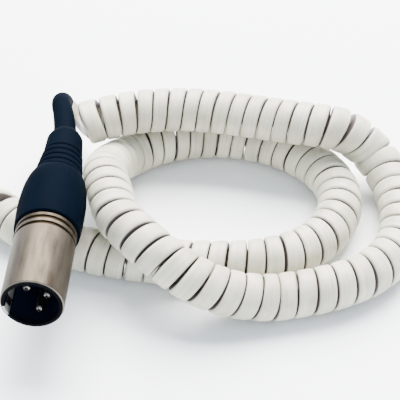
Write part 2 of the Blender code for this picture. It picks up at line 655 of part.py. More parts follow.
def smooth_route(points, step):
    """Points at an even step along a natural cubic curve through the given ones."""
    given = np.array(points, float)
    spans = np.linalg.norm(np.diff(given, axis=0), axis=1)
    count = len(given)
    rows = np.eye(count)
    right = np.zeros((count, 3))
    for i in range(1, count - 1):
        rows[i, i - 1 : i + 2] = (spans[i - 1], 2 * (spans[i - 1] + spans[i]), spans[i])
        right[i] = 6 * ((given[i + 1] - given[i]) / spans[i] - (given[i] - given[i - 1]) / spans[i - 1])
    bends = np.linalg.solve(rows, right)
    fine = []
    for i in range(count - 1):
        for b in np.linspace(0, 1, ROUTE_SPLITS, endpoint=False):
            a = 1 - b
            curve = (a**3 - a) * bends[i] + (b**3 - b) * bends[i + 1]
            fine.append(a * given[i] + b * given[i + 1] + spans[i] ** 2 / 6 * curve)
    fine = np.array(fine + [given[-1]])
    along = np.concatenate([[0], np.cumsum(np.linalg.norm(np.diff(fine, axis=0), axis=1))])
    places = np.arange(0, along[-1], step)
    return np.stack([np.interp(places, along, fine[:, k]) for k in range(3)], axis=1)


def unit(rows):
    return rows / np.linalg.norm(rows, axis=-1, keepdims=True)


def curls():
    """Middle of the cord through all its curls, and the way out from the curl's axis at each point.

    The turns lie nearly closed. On a bend they open until the turns on its inner side clear each other.
    """
    shift = np.array(ORIGIN)
    axis = smooth_route([np.array(point) * MM - shift for point in CURL_ROUTE], ROUTE_STEP)
    axis[:, 2] = np.maximum(axis[:, 2], CURL_DIAMETER / 2 + TABLE_GAP)
    ahead = unit(np.gradient(axis, axis=0))
    bend = np.linalg.norm(np.gradient(ahead, axis=0), axis=1) / ROUTE_STEP
    window = 2 * BEND_STEPS + 1
    bend = np.convolve(np.pad(bend, BEND_STEPS, mode="edge"), np.ones(window) / window, mode="valid")
    radius = (CURL_DIAMETER - CORD_THICKNESS) / 2
    pitch = np.maximum(CURL_PITCH, (CORD_WIDTH + CURL_GAP) / (1 - bend * radius))
    turns = np.concatenate([[0], np.cumsum(ROUTE_STEP / pitch)])[:-1]
    whole = math.floor(turns[-1] + CURL_START_TURN - CURL_END_TURN)
    last = whole + CURL_END_TURN - CURL_START_TURN
    rings = np.linspace(0, last, round(last * POINTS_PER_CURL) + 1)
    middle = np.stack([np.interp(rings, turns, axis[:, k]) for k in range(3)], axis=1)
    ahead = unit(np.stack([np.interp(rings, turns, ahead[:, k]) for k in range(3)], axis=1))
    side = unit(np.cross(ahead, (0.0, 0.0, 1.0)))
    above = np.cross(side, ahead)
    phase = 2 * math.pi * (rings + CURL_START_TURN)[:, None]
    out = np.cos(phase) * side + np.sin(phase) * above
    return middle + radius * out, out, last


def bridge(start, start_way, end, end_way, steps, pull):
    """Points between two ends on a curve that leaves and arrives along the given ways."""
    reach = pull * np.linalg.norm(end - start)
    made = []
    for share in np.linspace(0, 1, steps + 2)[1:-1]:
        a = 2 * share**3 - 3 * share**2 + 1
        b = share**3 - 2 * share**2 + share
        c = share**3 - share**2
        made.append(a * start + b * reach * start_way + (1 - a) * end + c * reach * end_way)
    return np.array(made)


def inside_connector(frame, exposed, bends):
    """The cord from its jacket's end to a straight bit past the sleeve's tip, and its way out there."""
    first = jacket_end(exposed)
    last = relief_end(exposed)
    depths = [first, first + CORD_WIDTH, bends_start(exposed, bends)]
    if bends:
        depths += list(np.linspace(depths[-1], last, BEND_RINGS + 1)[1:])
    points = [frame @ bent(depth, exposed, bends)[0] for depth in depths]
    way = frame.to_3x3() @ (bent(last, exposed, bends)[1] @ Vector((0.0, 0.0, -1.0)))
    points.append(points[-1] + way * CORD_WIDTH)
    return np.array(points), np.array(way)


def carried_frame(points, out, known):
    """Carry a known outward way along points without twist, starting from the known end."""
    ways = unit(np.gradient(points, axis=0))
    order = range(len(points)) if known == 0 else range(len(points) - 1, -1, -1)
    carried = np.zeros_like(points)
    for i in order:
        out = out - ways[i] * np.dot(out, ways[i])
        out = out / np.linalg.norm(out)
        carried[i] = out
    return carried


def cord_section():
    """Six corners of the cord's flat-sided section: across the band and out from the curl."""
    half = CORD_WIDTH / 2
    thick = CORD_THICKNESS / 2
    flat = half * CORD_FLAT
    return ((-half, 0.0), (-flat, thick), (flat, thick), (half, 0.0), (flat, -thick), (-flat, -thick))


def least_gap(rings):
    """Least distance between the surfaces of two turns, on points spread between the rings."""
    spread = np.concatenate([rings[:-1] * (1 - share) + rings[1:] * share for share in (0.0, 0.33, 0.67)])
    numbers = np.tile(np.arange(len(rings) - 1), 3)
    flat = spread.reshape(-1, 3)
    owner = np.repeat(numbers, rings.shape[1])
    tree = KDTree(len(flat))
    for number, point in enumerate(flat):
        tree.insert(point, number)
    tree.balance()
    least = CURL_DIAMETER
    for number, point in enumerate(flat):
        for _, other, distance in tree.find_range(point, min(least, CORD_WIDTH)):
            if abs(int(owner[number]) - int(owner[other])) > POINTS_PER_CURL // 2:
                least = min(least, distance)
    return least


def curly_cord(finish, male, female):
    """The whole cord as one unbroken tube, from inside the plug to inside the far connector."""
    first, first_way = inside_connector(male, MALE_EXPOSED, MALE_BENDS)
    last, last_way = inside_connector(female, FEMALE_EXPOSED, FEMALE_BENDS)
    wound, out, turns = curls()
    start_way = unit(wound[1] - wound[0])
    end_way = unit(wound[-1] - wound[-2])
    first_bridge = bridge(first[-1], first_way, wound[0], start_way, LEAD_IN_STEPS, LEAD_IN_PULL)
    last_bridge = bridge(wound[-1], end_way, last[-1], -last_way, LEAD_OUT_STEPS, LEAD_OUT_PULL)
    lead_in = np.concatenate([first, first_bridge])
    lead_out = np.concatenate([last_bridge, last[::-1]])
    points = np.concatenate([lead_in, wound, lead_out])
    outs = np.concatenate([carried_frame(lead_in, out[0], -1), out, carried_frame(lead_out, out[-1], 0)])
    ways = unit(np.gradient(points, axis=0))
    outs = unit(outs - ways * (outs * ways).sum(axis=1, keepdims=True))
    across = np.cross(ways, outs)
    section = cord_section()
    rings = np.stack([points + across * x + outs * y for x, y in section], axis=1)
    shape = bmesh.new()
    corners = [[shape.verts.new(corner) for corner in ring] for ring in rings]
    sides = len(section)
    for near, far in zip(corners, corners[1:]):
        for side in range(sides):
            after = (side + 1) % sides
            shape.faces.new((near[side], near[after], far[after], far[side]))
    shape.faces.new(corners[0][::-1])
    shape.faces.new(corners[-1])
    finish_mesh("curly_cord", shape, finish, None)
    length = np.linalg.norm(np.diff(points, axis=0), axis=1).sum()
    print(f"curly_cord: {turns:.1f} curls, {length:.3f} m of cord")
    print(f"curly_cord: least gap to itself {least_gap(rings) / MM:.2f} mm")
    print(f"curly_cord: lowest point {rings[..., 2].min() / MM:.2f} mm above the table")


def build():
    clear_scene()
    nickel = material("nickel_plate", (0.55, 0.50, 0.46), 0.25, 1.0)
    bright = material("contact_plate", (0.80, 0.78, 0.72), 0.2, 1.0)
    steel = material("spring_steel", (0.45, 0.45, 0.46), 0.3, 1.0)
    black = material("insert_plastic", (0.012, 0.012, 0.014), 0.45)
    navy = material("bushing_plastic", (0.012, 0.018, 0.030), 0.5)
    rubber = material("relief_rubber", (0.012, 0.018, 0.030), 0.6)
    clamp = material("chuck_plastic", (0.70, 0.70, 0.68), 0.5)
    ivory = material("cord_jacket", (0.75, 0.73, 0.66), 0.45)
    colours = ((0.5, 0.5, 0.5), (0.55, 0.03, 0.03), (0.80, 0.80, 0.78))
    insulation = [material(f"wire_insulation_{n}", colour, 0.5) for n, colour in enumerate(colours, 1)]

    male = connector_frame("male_frame", MALE_RIM, Euler((math.pi / 2 + MALE_TILT, 0.0, MALE_TURN)))
    female = connector_frame("female_frame", FEMALE_NOSE, Euler((math.pi / 2, 0.0, math.pi)))
    bpy.context.view_layer.update()

    male_shell(nickel, male)
    male_insert(black, male)
    male_contacts(bright, male)
    cup_start = MALE_INSERT_END + PRESS_GAP
    wires("male_wire", cup_start, MALE_EXPOSED, MALE_ROLL, MALE_ORDER, insulation, male)
    chuck("male_chuck", MALE_EXPOSED, clamp, male)
    bushing("male_bushing", MALE_EXPOSED, navy, male)
    bend_relief("male_bend_relief", MALE_EXPOSED, MALE_BENDS, rubber, male)

    female_shell(nickel, female)
    female_insert(black, female)
    female_contacts(bright, female)
    female_latch(steel, female)
    female_latch_pin(steel, female)
    female_latch_spring(steel, female)
    cup_start = FEMALE_INSERT_END + PRESS_GAP
    wires("female_wire", cup_start, FEMALE_EXPOSED, FEMALE_ROLL, FEMALE_ORDER, insulation, female)
    chuck("female_chuck", FEMALE_EXPOSED, clamp, female)
    bushing("female_bushing", FEMALE_EXPOSED, navy, female)
    bend_relief("female_bend_relief", FEMALE_EXPOSED, FEMALE_BENDS, rubber, female)

    curly_cord(ivory, male.matrix_world, female.matrix_world)


build()
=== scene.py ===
"""Looks of a curly microphone cable: the fine cord, the finished connectors, floor, light and camera.

Lengths are in metres in the row's frame, +Z up. The cable lies on a table at z = 0.
"""

import math

import bmesh
import bpy
import numpy as np
from mathutils import Euler, Matrix, Quaternion, Vector


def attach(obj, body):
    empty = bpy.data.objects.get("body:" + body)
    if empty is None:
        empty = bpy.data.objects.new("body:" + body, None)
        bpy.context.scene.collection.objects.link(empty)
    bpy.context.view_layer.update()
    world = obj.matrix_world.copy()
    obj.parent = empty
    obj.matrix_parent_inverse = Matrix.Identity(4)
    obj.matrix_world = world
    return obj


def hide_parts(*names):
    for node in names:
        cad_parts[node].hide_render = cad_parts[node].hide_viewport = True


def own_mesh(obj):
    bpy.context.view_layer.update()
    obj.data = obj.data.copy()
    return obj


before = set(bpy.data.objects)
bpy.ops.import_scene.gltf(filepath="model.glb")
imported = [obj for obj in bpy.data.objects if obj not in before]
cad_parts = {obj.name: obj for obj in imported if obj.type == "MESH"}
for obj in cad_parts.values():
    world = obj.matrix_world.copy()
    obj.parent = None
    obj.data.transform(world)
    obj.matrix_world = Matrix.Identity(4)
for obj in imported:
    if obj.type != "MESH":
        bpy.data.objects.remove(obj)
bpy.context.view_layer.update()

MM = 0.001

# Camera, measured from the row's origin
CAMERA_PLACE = (68.18 * MM, -390.07 * MM, 331.21 * MM)
CAMERA_TILT = math.radians(48.5)
CAMERA_LENS = 135.0
CAMERA_SENSOR = 36.0

# Where the row's origin lies on the table, measured from the middle of the view
ORIGIN = Vector((-68.18 * MM, 15.7 * MM, 0.0))

# Studio: the sky's brightness from the horizon up, and each soft light's place, size, power and colour
SKY_STOPS = ((0.0, (0.36, 0.46, 0.58)), (0.35, (0.56, 0.70, 0.88)), (0.9, (0.72, 0.87, 1.0)))
SKY_STRENGTH = 1.7
LIGHT_AIM = (0.05, 0.0, 0.0)
LIGHTS = (
    ("key", (0.17, 0.72, 1.04), 1.2, 172.0, (1.0, 0.975, 0.945)),
    ("fill", (0.25, -1.1, 0.3), 0.9, 6.0, (1.0, 0.99, 0.97)),
)
FLOOR_SIZE = 3.0
FLOOR_ROUGHNESS = 0.6
FLOOR_SHINE = 0.1
FLOOR_CLOUD_SCALE = 3.0
FLOOR_STOPS = ((0.3, (0.90, 0.91, 0.92)), (0.7, (0.92, 0.93, 0.94)))

# Cord's jacket: stops of its colour, its streaks and its dirt, and the tones of worn and dirty places and of
# the shade painted on the walls between curls
IVORY_STOPS = ((0.32, (0.41, 0.385, 0.30)), (0.62, (0.57, 0.545, 0.44)))
STREAK_STOPS = ((0.46, (0.0, 0.0, 0.0)), (0.72, (0.6, 0.6, 0.6)))
STREAK_TONE = (0.34, 0.315, 0.25)
DIRT_STOPS = ((0.66, (0.0, 0.0, 0.0)), (0.74, (0.6, 0.6, 0.6)))
DIRT_TONE = (0.36, 0.32, 0.26)
WALL_SHADE_TONE = (0.085, 0.068, 0.068)
MOTTLE_SCALE = 110.0
STREAK_STRETCH = (60.0, 1600.0, 1600.0)
SPECK_SCALE = 700.0
JACKET_ROUGHNESS = (0.38, 0.55)
JACKET_SHINE = 0.35

# Plated metals: their dark and light tones, the tones of their tarnished grooves and of a highlight painted
# round the mouth, and their stains and turning marks
NICKEL_TONES = ((0.036, 0.0275, 0.020), (0.076, 0.062, 0.047))
GROOVE_TONE = (0.018, 0.012, 0.007)
RIM_HIGHLIGHT_TONE = (0.36, 0.33, 0.285)
BARE_TONES = ((0.55, 0.53, 0.50), (0.65, 0.63, 0.60))
CONTACT_TONES = ((0.19, 0.18, 0.16), (0.26, 0.245, 0.225))
STEEL_TONES = ((0.12, 0.118, 0.115), (0.18, 0.178, 0.174))
STAIN_PLACES = (0.32, 0.62)
STAIN_SCALE = 420.0
STAIN_STRETCH = (1.0, 1.0, 0.18)
RING_STRETCH = 60.0
METAL_ROUGHNESS = (-0.08, 0.1)

# Mouldings and rubber: their dark and light tones, the tone deep in the plug, and their clouds and grain
BLACK_TONES = ((0.0008, 0.0011, 0.0018), (0.0014, 0.0019, 0.0030))
CAVITY_TONE = (0.006, 0.011, 0.030)
NAVY_TONES = ((0.0006, 0.0018, 0.0042), (0.0009, 0.0025, 0.0056))
RUBBER_TONES = ((0.0006, 0.0018, 0.0042), (0.0010, 0.0027, 0.0060))
CLAMP_TONES = ((0.64, 0.64, 0.62), (0.72, 0.72, 0.70))
WIRE_COLOURS = ((0.5, 0.5, 0.5), (0.55, 0.03, 0.03), (0.80, 0.80, 0.78))
WIRE_SHADE = 0.85
CLOUD_PLACES = (0.3, 0.7)
CLOUD_SCALE = 120.0
GRAIN_SCALE = 2500.0
MOULDED_ROUGHNESS = (-0.08, 0.08)

# Fineness of the meshes, and the rounding of a profile's corners
TURNED_SIDES = 96
BOOT_SIDES = 64
CONTACT_SIDES = 32
BAR_SIDES = 24
MERGE_DISTANCE = 0.001 * MM
SMOOTH_ANGLE = math.radians(40)
CORNER_STEPS = 3
CORNER_SHARE = 0.45
SHELL_CORNER = 0.18 * MM
BOOT_CORNER = 0.3 * MM

# Fits between pieces
SCREW_GAP = 0.3 * MM
PRESS_GAP = 0.2 * MM
SLIDE_GAP = 0.3 * MM

# Shells of both connectors
SHELL_RADIUS = 9.35 * MM
SHELL_WALL = 0.9 * MM
SHELL_EDGE = 0.35 * MM
MALE_EXPOSED = 29.5 * MM
NOSE_LENGTH = 14.2 * MM
FEMALE_EXPOSED = 38.2 * MM
NOSE_WALL = 0.75 * MM
THREAD_RADIUS = 8.0 * MM
THREAD_BORE = 6.9 * MM
THREAD_LENGTH = 10.0 * MM
GROOVE_WIDTH = 1.2 * MM
GROOVE_DEPTH = 0.5 * MM
GROOVE_LAND = 1.3 * MM
GROOVES = 2
GROOVE_EDGE = 0.3 * MM
LAND_TARNISH = 0.45
# Highlight painted round the shell's mouth: how far back it reaches, its fade, and the least radius it covers
RIM_HIGHLIGHT_REACH = 0.3 * MM
RIM_FADE = 0.15 * MM
RIM_RADIUS = 9.05 * MM

# Inserts and contacts
LINER_WALL = 0.4 * MM
LIP_GAP = 0.02 * MM
LIP_FRONT = 0.15 * MM
LIP_RADIUS = 8.9 * MM
KEY_SLOT = 3.8 * MM
CAVITY_DEPTH = 14.5 * MM
MALE_INSERT_END = 21.0 * MM
FEMALE_INSERT_SETBACK = 0.4 * MM
FEMALE_INSERT_END = 37.0 * MM
CONTACT_CIRCLE = 9.0 * MM
PIN_RADIUS = 1.2 * MM
PIN_SETBACK = 1.8 * MM
PIN_TIP_STEPS = 6
PIN_DIMPLE = 0.6 * MM
PIN_DIMPLE_DEPTH = 1.0 * MM
PIN_DIMPLE_FLOOR = 0.7
CUP_RADIUS = 1.6 * MM
CUP_BORE = 1.05 * MM
CUP_LENGTH = 5.8 * MM
CUP_DEPTH = 4.5 * MM
SOCKET_BORE = 1.25 * MM
SOCKET_RADIUS = 1.6 * MM
SOCKET_DEPTH = 13.0 * MM
KEY_WIDTH = 5.0 * MM
CATCH_FROM_RIM = 3.0 * MM
CATCH_LENGTH = 3.2 * MM
CATCH_DEPTH = 0.4 * MM
LATCH_SLOT = 2.5 * MM
LATCH_GROOVE_FLOOR = 2.6 * MM
LATCH_WINDOW_START = 8.0 * MM
LATCH_WINDOW_END = 29.5 * MM
PIVOT_HEIGHT = 5.0 * MM
PIVOT_DEPTH = 33.0 * MM
PIVOT_BORE = 0.82 * MM

# Radii that follow from the walls and the press fits
SHELL_BORE = SHELL_RADIUS - SHELL_WALL
LINER_RADIUS = SHELL_BORE - PRESS_GAP
LINER_BORE = LINER_RADIUS - LINER_WALL
NOSE_RADIUS = LINER_BORE - PRESS_GAP
NOSE_BORE = NOSE_RADIUS - NOSE_WALL
FEMALE_INSERT_RADIUS = NOSE_BORE - PRESS_GAP

# Turn of each contact about the connector's axis; the key lies opposite the third one
CONTACT_ANGLES = (math.radians(90), math.radians(-90), 0.0)
KEY_ANGLE = math.pi
MALE_ORDER = 1
FEMALE_ORDER = -1

# Bushing and bend relief
CHUCK_FLANGE = 1.6 * MM
CHUCK_BODY = 3.7 * MM
CHUCK_CONE = 4.8 * MM
CHUCK_RADIUS = 6.2 * MM
CHUCK_NOSE = 4.6 * MM
BUSHING_EDGE = 10.05 * MM
BUSHING_BULGE = 10.45 * MM
BUSHING_TOP = 7.45 * MM
BUSHING_STRAIGHT = 9.5 * MM
BUSHING_LENGTH = 24.4 * MM
BUSHING_STEPS = 14
RIBS = 4
RIB_PITCH = 2.75 * MM
RIB_GROOVE = 0.75 * MM
RIB_CREST = 1.6 * MM
RIB_SLOPE = 0.3 * MM
RIB_FLOOR = 0.5 * MM
RIB_FIRST = 7.7 * MM
RIB_LAST = 6.3 * MM
COLLAR_LENGTH = 7.7 * MM
COLLAR_END = 5.8 * MM
SHOULDER_LENGTH = 3.8 * MM
SHOULDER_HOLLOW = 0.4
SLEEVE_LENGTH = 24.0 * MM
SLEEVE_ROOT = 3.7 * MM
SLEEVE_TIP = 3.05 * MM
SLEEVE_DROP_LENGTH = 10.0 * MM
SLEEVE_STEPS = 24
NECK_LENGTH = 3.0 * MM

# Cord: a flat-sided tube wound into a left-handed helix
CORD_WIDTH = 4.8 * MM
CORD_THICKNESS = 4.1 * MM
CORD_BORE = 2.7 * MM
CURL_DIAMETER = 14.5 * MM
TABLE_GAP = 0.08 * MM
JACKET_PAST_THREAD = 1.5 * MM
CURL_START_TURN = -0.25
CURL_END_TURN = 90.125
CURL_BAND_LEAST = 1.8 * MM
CURL_BANDS = (
    (0.0, 0.0), (5.2 * MM, 5.2 * MM), (5.9 * MM, 5.75 * MM), (6.6 * MM, 6.0 * MM), (9.2 * MM, 8.2 * MM),
)
CURL_GAP = 0.4 * MM
CURL_STRAY = 0.07 * MM
STRAY_WAVES = ((2.3, 0.0), (3.9, 1.0))
SECTION_SIDES = 36
SECTION_POWER = 4.8
# Shade painted on the band's walls between curls: where it starts across the band, how it fades, and how deep
# below the outer face it grows
WALL_START = 0.945
WALL_FADE = 0.04
WALL_TOP = 0.97
WALL_DEPTH = 0.25
POINTS_PER_CURL = 24
ROUTE_STEP = 0.25 * MM
ROUTE_SPLITS = 60
BEND_WINDOW = 12
BRIDGE_STEPS = 30
LEAD_OUT_PULL = 1.6
INSIDE_STEPS = 40

# Bend of the cord behind the plug's sleeve: its place from the middle of the view, its way and its pulls
LEAD_IN_BEND = Vector((-41.0 * MM, 29.0 * MM, 11.3 * MM))
LEAD_IN_WAY = (0.62, -0.63, -0.47)
LEAD_IN_PULLS = (1.2, 1.4)

# How far the curls lean along the cord, as (turn, lean) pairs
CURL_LEANS = ((-0.25, 0.56), (0.1, 0.49), (1.1, 0.27), (2.1, 0.14), (3.5, 0.0))

# Male plug and female connector, measured from the middle of the view
MALE_RIM = Vector((-48.1 * MM, -73.0 * MM, 24.65 * MM))
MALE_TILT = math.radians(0.2)
MALE_TURN = math.radians(-3.8)
MALE_ROLL = math.radians(20)
FEMALE_NOSE = Vector((-91.0 * MM, 105.0 * MM, 10.45 * MM))
FEMALE_ROLL = math.radians(-90)
MALE = Matrix.LocRotScale(MALE_RIM - ORIGIN, Euler((math.pi / 2 + MALE_TILT, 0.0, MALE_TURN)), None)
FEMALE = Matrix.LocRotScale(FEMALE_NOSE - ORIGIN, Euler((math.pi / 2, 0.0, math.pi)), None)

# Bends of the plug's relief, one after the other: length, angle and direction
LEAN_LENGTH = COLLAR_LENGTH + SHOULDER_LENGTH + SLEEVE_LENGTH - SLEEVE_DROP_LENGTH
MALE_BENDS = (
    (LEAN_LENGTH, math.radians(16), math.radians(180)),
    (SLEEVE_DROP_LENGTH, math.radians(60), math.radians(293)),
)
FEMALE_BENDS = ()

# Middle of the curls, in millimetres from the middle of the view
CURL_ROUTE = (
    (-37.8, 13.2, 22.1), (-25.0, 18.0, 22.2), (0.0, 20.0, 22.2), (14.0, 17.6, 22.2), (26.0, 14.6, 22.3),
    (36.0, 12.1, 22.6), (44.5, 11.2, 21.6), (52.0, 11.2, 17.0), (58.0, 8.8, 11.8), (63.0, 0.0, 8.0),
    (65.0, -14.0, 7.3), (62.3, -29.5, 7.3), (54.0, -41.0, 7.3), (40.0, -48.8, 7.3), (24.0, -52.8, 7.3),
    (10.0, -54.6, 10.4), (-3.0, -52.8, 15.8), (-13.0, -47.0, 20.2), (-20.4, -40.0, 22.4),
    (-24.7, -33.8, 22.5), (-27.0, -26.8, 22.2), (-28.5, -20.0, 21.7), (-29.9, -13.0, 20.3),
    (-30.4, -5.4, 17.0), (-29.5, 2.4, 12.8), (-27.2, 9.2, 9.3), (-23.0, 14.8, 7.5), (-11.0, 21.6, 7.3),
    (3.0, 24.4, 7.3), (17.0, 22.8, 7.3), (30.0, 17.0, 7.3), (40.0, 7.4, 7.3), (45.3, -5.0, 7.3),
    (43.4, -18.5, 7.3), (35.0, -29.8, 7.3), (21.0, -36.6, 7.3), (3.0, -38.2, 7.3), (-33.0, -32.6, 7.3),
    (-53.0, -23.6, 7.3), (-71.0, -7.6, 7.3),
)

# Pitch of the curls, as (length along their middle, pitch) pairs: they open at the first bend to the right
CURL_PITCHES = (
    (0.0, 6.5 * MM), (20.0 * MM, 5.4 * MM), (80.0 * MM, 5.2 * MM), (100.0 * MM, 7.7 * MM),
    (150.0 * MM, 5.9 * MM), (250.0 * MM, 6.0 * MM), (270.0 * MM, 5.3 * MM), (320.0 * MM, 5.2 * MM),
    (360.0 * MM, 5.9 * MM), (410.0 * MM, 5.5 * MM), (460.0 * MM, 6.0 * MM), (530.0 * MM, 5.8 * MM),
)


def unit(rows):
    return rows / np.linalg.norm(rows, axis=-1, keepdims=True)


def placed(name, data):
    """A new object in the scene."""
    made = bpy.data.objects.new(name, data)
    bpy.context.scene.collection.objects.link(made)
    return made


def mesh_of(name, shape):
    """A mesh with the faces that were built for it."""
    mesh = bpy.data.meshes.new(name)
    shape.to_mesh(mesh)
    shape.free()
    return mesh


def smoothed(mesh):
    """A mesh with smooth shading between its sharp edges."""
    mesh.shade_smooth()
    mesh.set_sharp_from_angle(angle=SMOOTH_ANGLE)
    return mesh


def mark(mesh, name, values):
    """Write a value to each corner of a mesh, for its finish."""
    mesh.attributes.new(name, "FLOAT", "POINT").data.foreach_set("value", values)


def shader_of(name, roughness, metallic=0.0):
    """A new material, its node tree and its Principled BSDF."""
    made = bpy.data.materials.new(name)
    made.use_nodes = True
    shader = made.node_tree.nodes["Principled BSDF"]
    shader.inputs["Roughness"].default_value = roughness
    shader.inputs["Metallic"].default_value = metallic
    return made, made.node_tree, shader


def noise(tree, scale, detail, stretch=(1.0, 1.0, 1.0), source=None):
    """Values of a noise on the piece's own coordinates, or on another vector."""
    source = source or tree.nodes.new("ShaderNodeTexCoord").outputs["Object"]
    mapping = tree.nodes.new("ShaderNodeMapping")
    mapping.inputs["Scale"].default_value = stretch
    made = tree.nodes.new("ShaderNodeTexNoise")
    made.inputs["Scale"].default_value = scale
    made.inputs["Detail"].default_value = detail
    tree.links.new(source, mapping.inputs["Vector"])
    tree.links.new(mapping.outputs["Vector"], made.inputs["Vector"])
    return made.outputs["Fac"]


def ramp(tree, source, stops):
    """A colour ramp over a noise's value, from (place, colour) stops."""
    made = tree.nodes.new("ShaderNodeValToRGB")
    while len(made.color_ramp.elements) < len(stops):
        made.color_ramp.elements.new(1.0)
    for element, (place, colour) in zip(made.color_ramp.elements, stops):
        element.position = place
        element.color = (*colour, 1.0)
    tree.links.new(source, made.inputs["Fac"])
    return made.outputs["Color"]


def spread(tree, source, low, high):
    """A noise's value spread between two numbers."""
    made = tree.nodes.new("ShaderNodeMapRange")
    made.inputs["To Min"].default_value = low
    made.inputs["To Max"].default_value = high
    tree.links.new(source, made.inputs["Value"])
    return made.outputs["Result"]


def bump(tree, shader, source, distance, strength):
    """Small heights on a finish, from a noise."""
    made = tree.nodes.new("ShaderNodeBump")
    made.inputs["Distance"].default_value = distance
    made.inputs["Strength"].default_value = strength
    tree.links.new(source, made.inputs["Height"])
    tree.links.new(made.outputs["Normal"], shader.inputs["Normal"])


def toned(tree, factor, source, tone):
    """A colour turned towards one tone by a value."""
    made = tree.nodes.new("ShaderNodeMix")
    made.data_type = "RGBA"
    factor_in, source_in, tone_in = (made.inputs[place] for place in (0, 6, 7))
    tree.links.new(factor, factor_in)
    tree.links.new(source, source_in)
    tone_in.default_value = (*tone, 1.0)
    return made.outputs[2]


def marked_colour(tree, colour, marked):
    """A colour turned towards other tones at the places that a mesh marks."""
    for name, tone in marked:
        places = tree.nodes.new("ShaderNodeAttribute")
        places.attribute_name = name
        colour = toned(tree, places.outputs["Fac"], colour, tone)
    return colour


def cord_finish():
    """Ivory PVC with faint mottling, streaks along the cord, a few specks of dirt, and shade painted on the
    walls between curls.
    """
    made, tree, shader = shader_of("ivory_jacket", roughness=0.45)
    shader.inputs["Specular IOR Level"].default_value = JACKET_SHINE
    mottle = noise(tree, MOTTLE_SCALE, detail=5.0)
    colour = ramp(tree, mottle, IVORY_STOPS)
    lay = tree.nodes.new("ShaderNodeAttribute")
    lay.attribute_name = "lay"
    streaks = noise(tree, 1.0, detail=4.0, stretch=STREAK_STRETCH, source=lay.outputs["Vector"])
    colour = toned(tree, ramp(tree, streaks, STREAK_STOPS), colour, STREAK_TONE)
    specks = noise(tree, SPECK_SCALE, detail=2.0)
    colour = toned(tree, ramp(tree, specks, DIRT_STOPS), colour, DIRT_TONE)
    # Shade painted on the band's walls between curls
    colour = marked_colour(tree, colour, (("painted_wall_shade", WALL_SHADE_TONE),))
    tree.links.new(colour, shader.inputs["Base Color"])
    tree.links.new(spread(tree, mottle, *JACKET_ROUGHNESS), shader.inputs["Roughness"])
    bump(tree, shader, specks, distance=0.02 * MM, strength=0.4)
    return made


def metal_finish(name, tones, roughness, rings, marked=()):
    """Plated metal with fine turning marks round the connector's axis, long soft stains and marked places."""
    made, tree, shader = shader_of(name, roughness, metallic=1.0)
    turning = noise(tree, 1.0, detail=3.0, stretch=(RING_STRETCH, RING_STRETCH, rings))
    stains = noise(tree, STAIN_SCALE, detail=5.0, stretch=STAIN_STRETCH)
    colour = ramp(tree, stains, tuple(zip(STAIN_PLACES, tones)))
    tree.links.new(marked_colour(tree, colour, marked), shader.inputs["Base Color"])
    least, most = (roughness + change for change in METAL_ROUGHNESS)
    tree.links.new(spread(tree, turning, least, most), shader.inputs["Roughness"])
    bump(tree, shader, turning, distance=0.01 * MM, strength=0.25)
    return made


def moulded_finish(name, tones, roughness, grain, shine=0.5, marked=()):
    """Moulded plastic or rubber with a fine grain, cloudy wear and marked places."""
    made, tree, shader = shader_of(name, roughness)
    shader.inputs["Specular IOR Level"].default_value = shine
    cloud = noise(tree, CLOUD_SCALE, detail=4.0)
    fine = noise(tree, GRAIN_SCALE, detail=2.0)
    colour = ramp(tree, cloud, tuple(zip(CLOUD_PLACES, tones)))
    tree.links.new(marked_colour(tree, colour, marked), shader.inputs["Base Color"])
    least, most = (roughness + change for change in MOULDED_ROUGHNESS)
    tree.links.new(spread(tree, cloud, least, most), shader.inputs["Roughness"])
    bump(tree, shader, fine, distance=0.02 * MM, strength=grain)
    return made


def piece(name, mesh, finish, place=Matrix.Identity(4), body="cable", replaces=()):
    """A finished piece that rides on a body and stands for CAD nodes."""
    made = placed(name, mesh)
    made.matrix_world = place
    mesh.materials.clear()
    mesh.materials.append(finish)
    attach(made, body)
    if replaces:
        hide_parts(*replaces)
    return made


def softened(profile, reach=SHELL_CORNER):
    """A profile with each corner rounded over a short reach."""
    points = [Vector(point) for point in profile]
    made = [points[0]]
    for before, corner, after in zip(points, points[1:], points[2:]):
        near, far = (
            corner + (end - corner) * min(CORNER_SHARE, reach / max((end - corner).length, reach))
            for end in (before, after)
        )
        for step in range(CORNER_STEPS + 1):
            share = step / CORNER_STEPS
            made.append(near.lerp(corner, share).lerp(corner.lerp(far, share), share))
    made.append(points[-1])
    return [tuple(point) for point in made]


def turned(name, profile, sides=TURNED_SIDES, place=(0.0, 0.0)):
    """A turned mesh from (radius, depth) points; depth runs back from the mating face along -Z."""
    shape = bmesh.new()
    points = [shape.verts.new((radius, 0.0, -depth)) for radius, depth in profile]
    edges = [shape.edges.new(pair) for pair in zip(points, points[1:])]
    if all(radius > 0 for radius, _ in profile):
        edges.append(shape.edges.new((points[-1], points[0])))
    bmesh.ops.spin(
        shape, geom=points + edges, axis=(0, 0, 1), cent=(0, 0, 0), angle=2 * math.pi,
        steps=sides, use_merge=True, use_duplicate=False,
    )
    bmesh.ops.remove_doubles(shape, verts=shape.verts, dist=MERGE_DISTANCE)
    bmesh.ops.translate(shape, verts=shape.verts, vec=(*place, 0.0))
    bmesh.ops.recalc_face_normals(shape, faces=shape.faces)
    return smoothed(mesh_of(name, shape))


def box_mesh(low, high, turn=0.0):
    """A box from its corners, turned about the connector's axis."""
    shape = bmesh.new()
    bmesh.ops.create_cube(shape, size=1.0)
    bmesh.ops.scale(shape, verts=shape.verts, vec=Vector(high) - Vector(low))
    bmesh.ops.translate(shape, verts=shape.verts, vec=(Vector(low) + Vector(high)) / 2)
    bmesh.ops.rotate(shape, verts=shape.verts, cent=(0, 0, 0), matrix=Matrix.Rotation(turn, 3, "Z"))
    return mesh_of("cutter", shape)


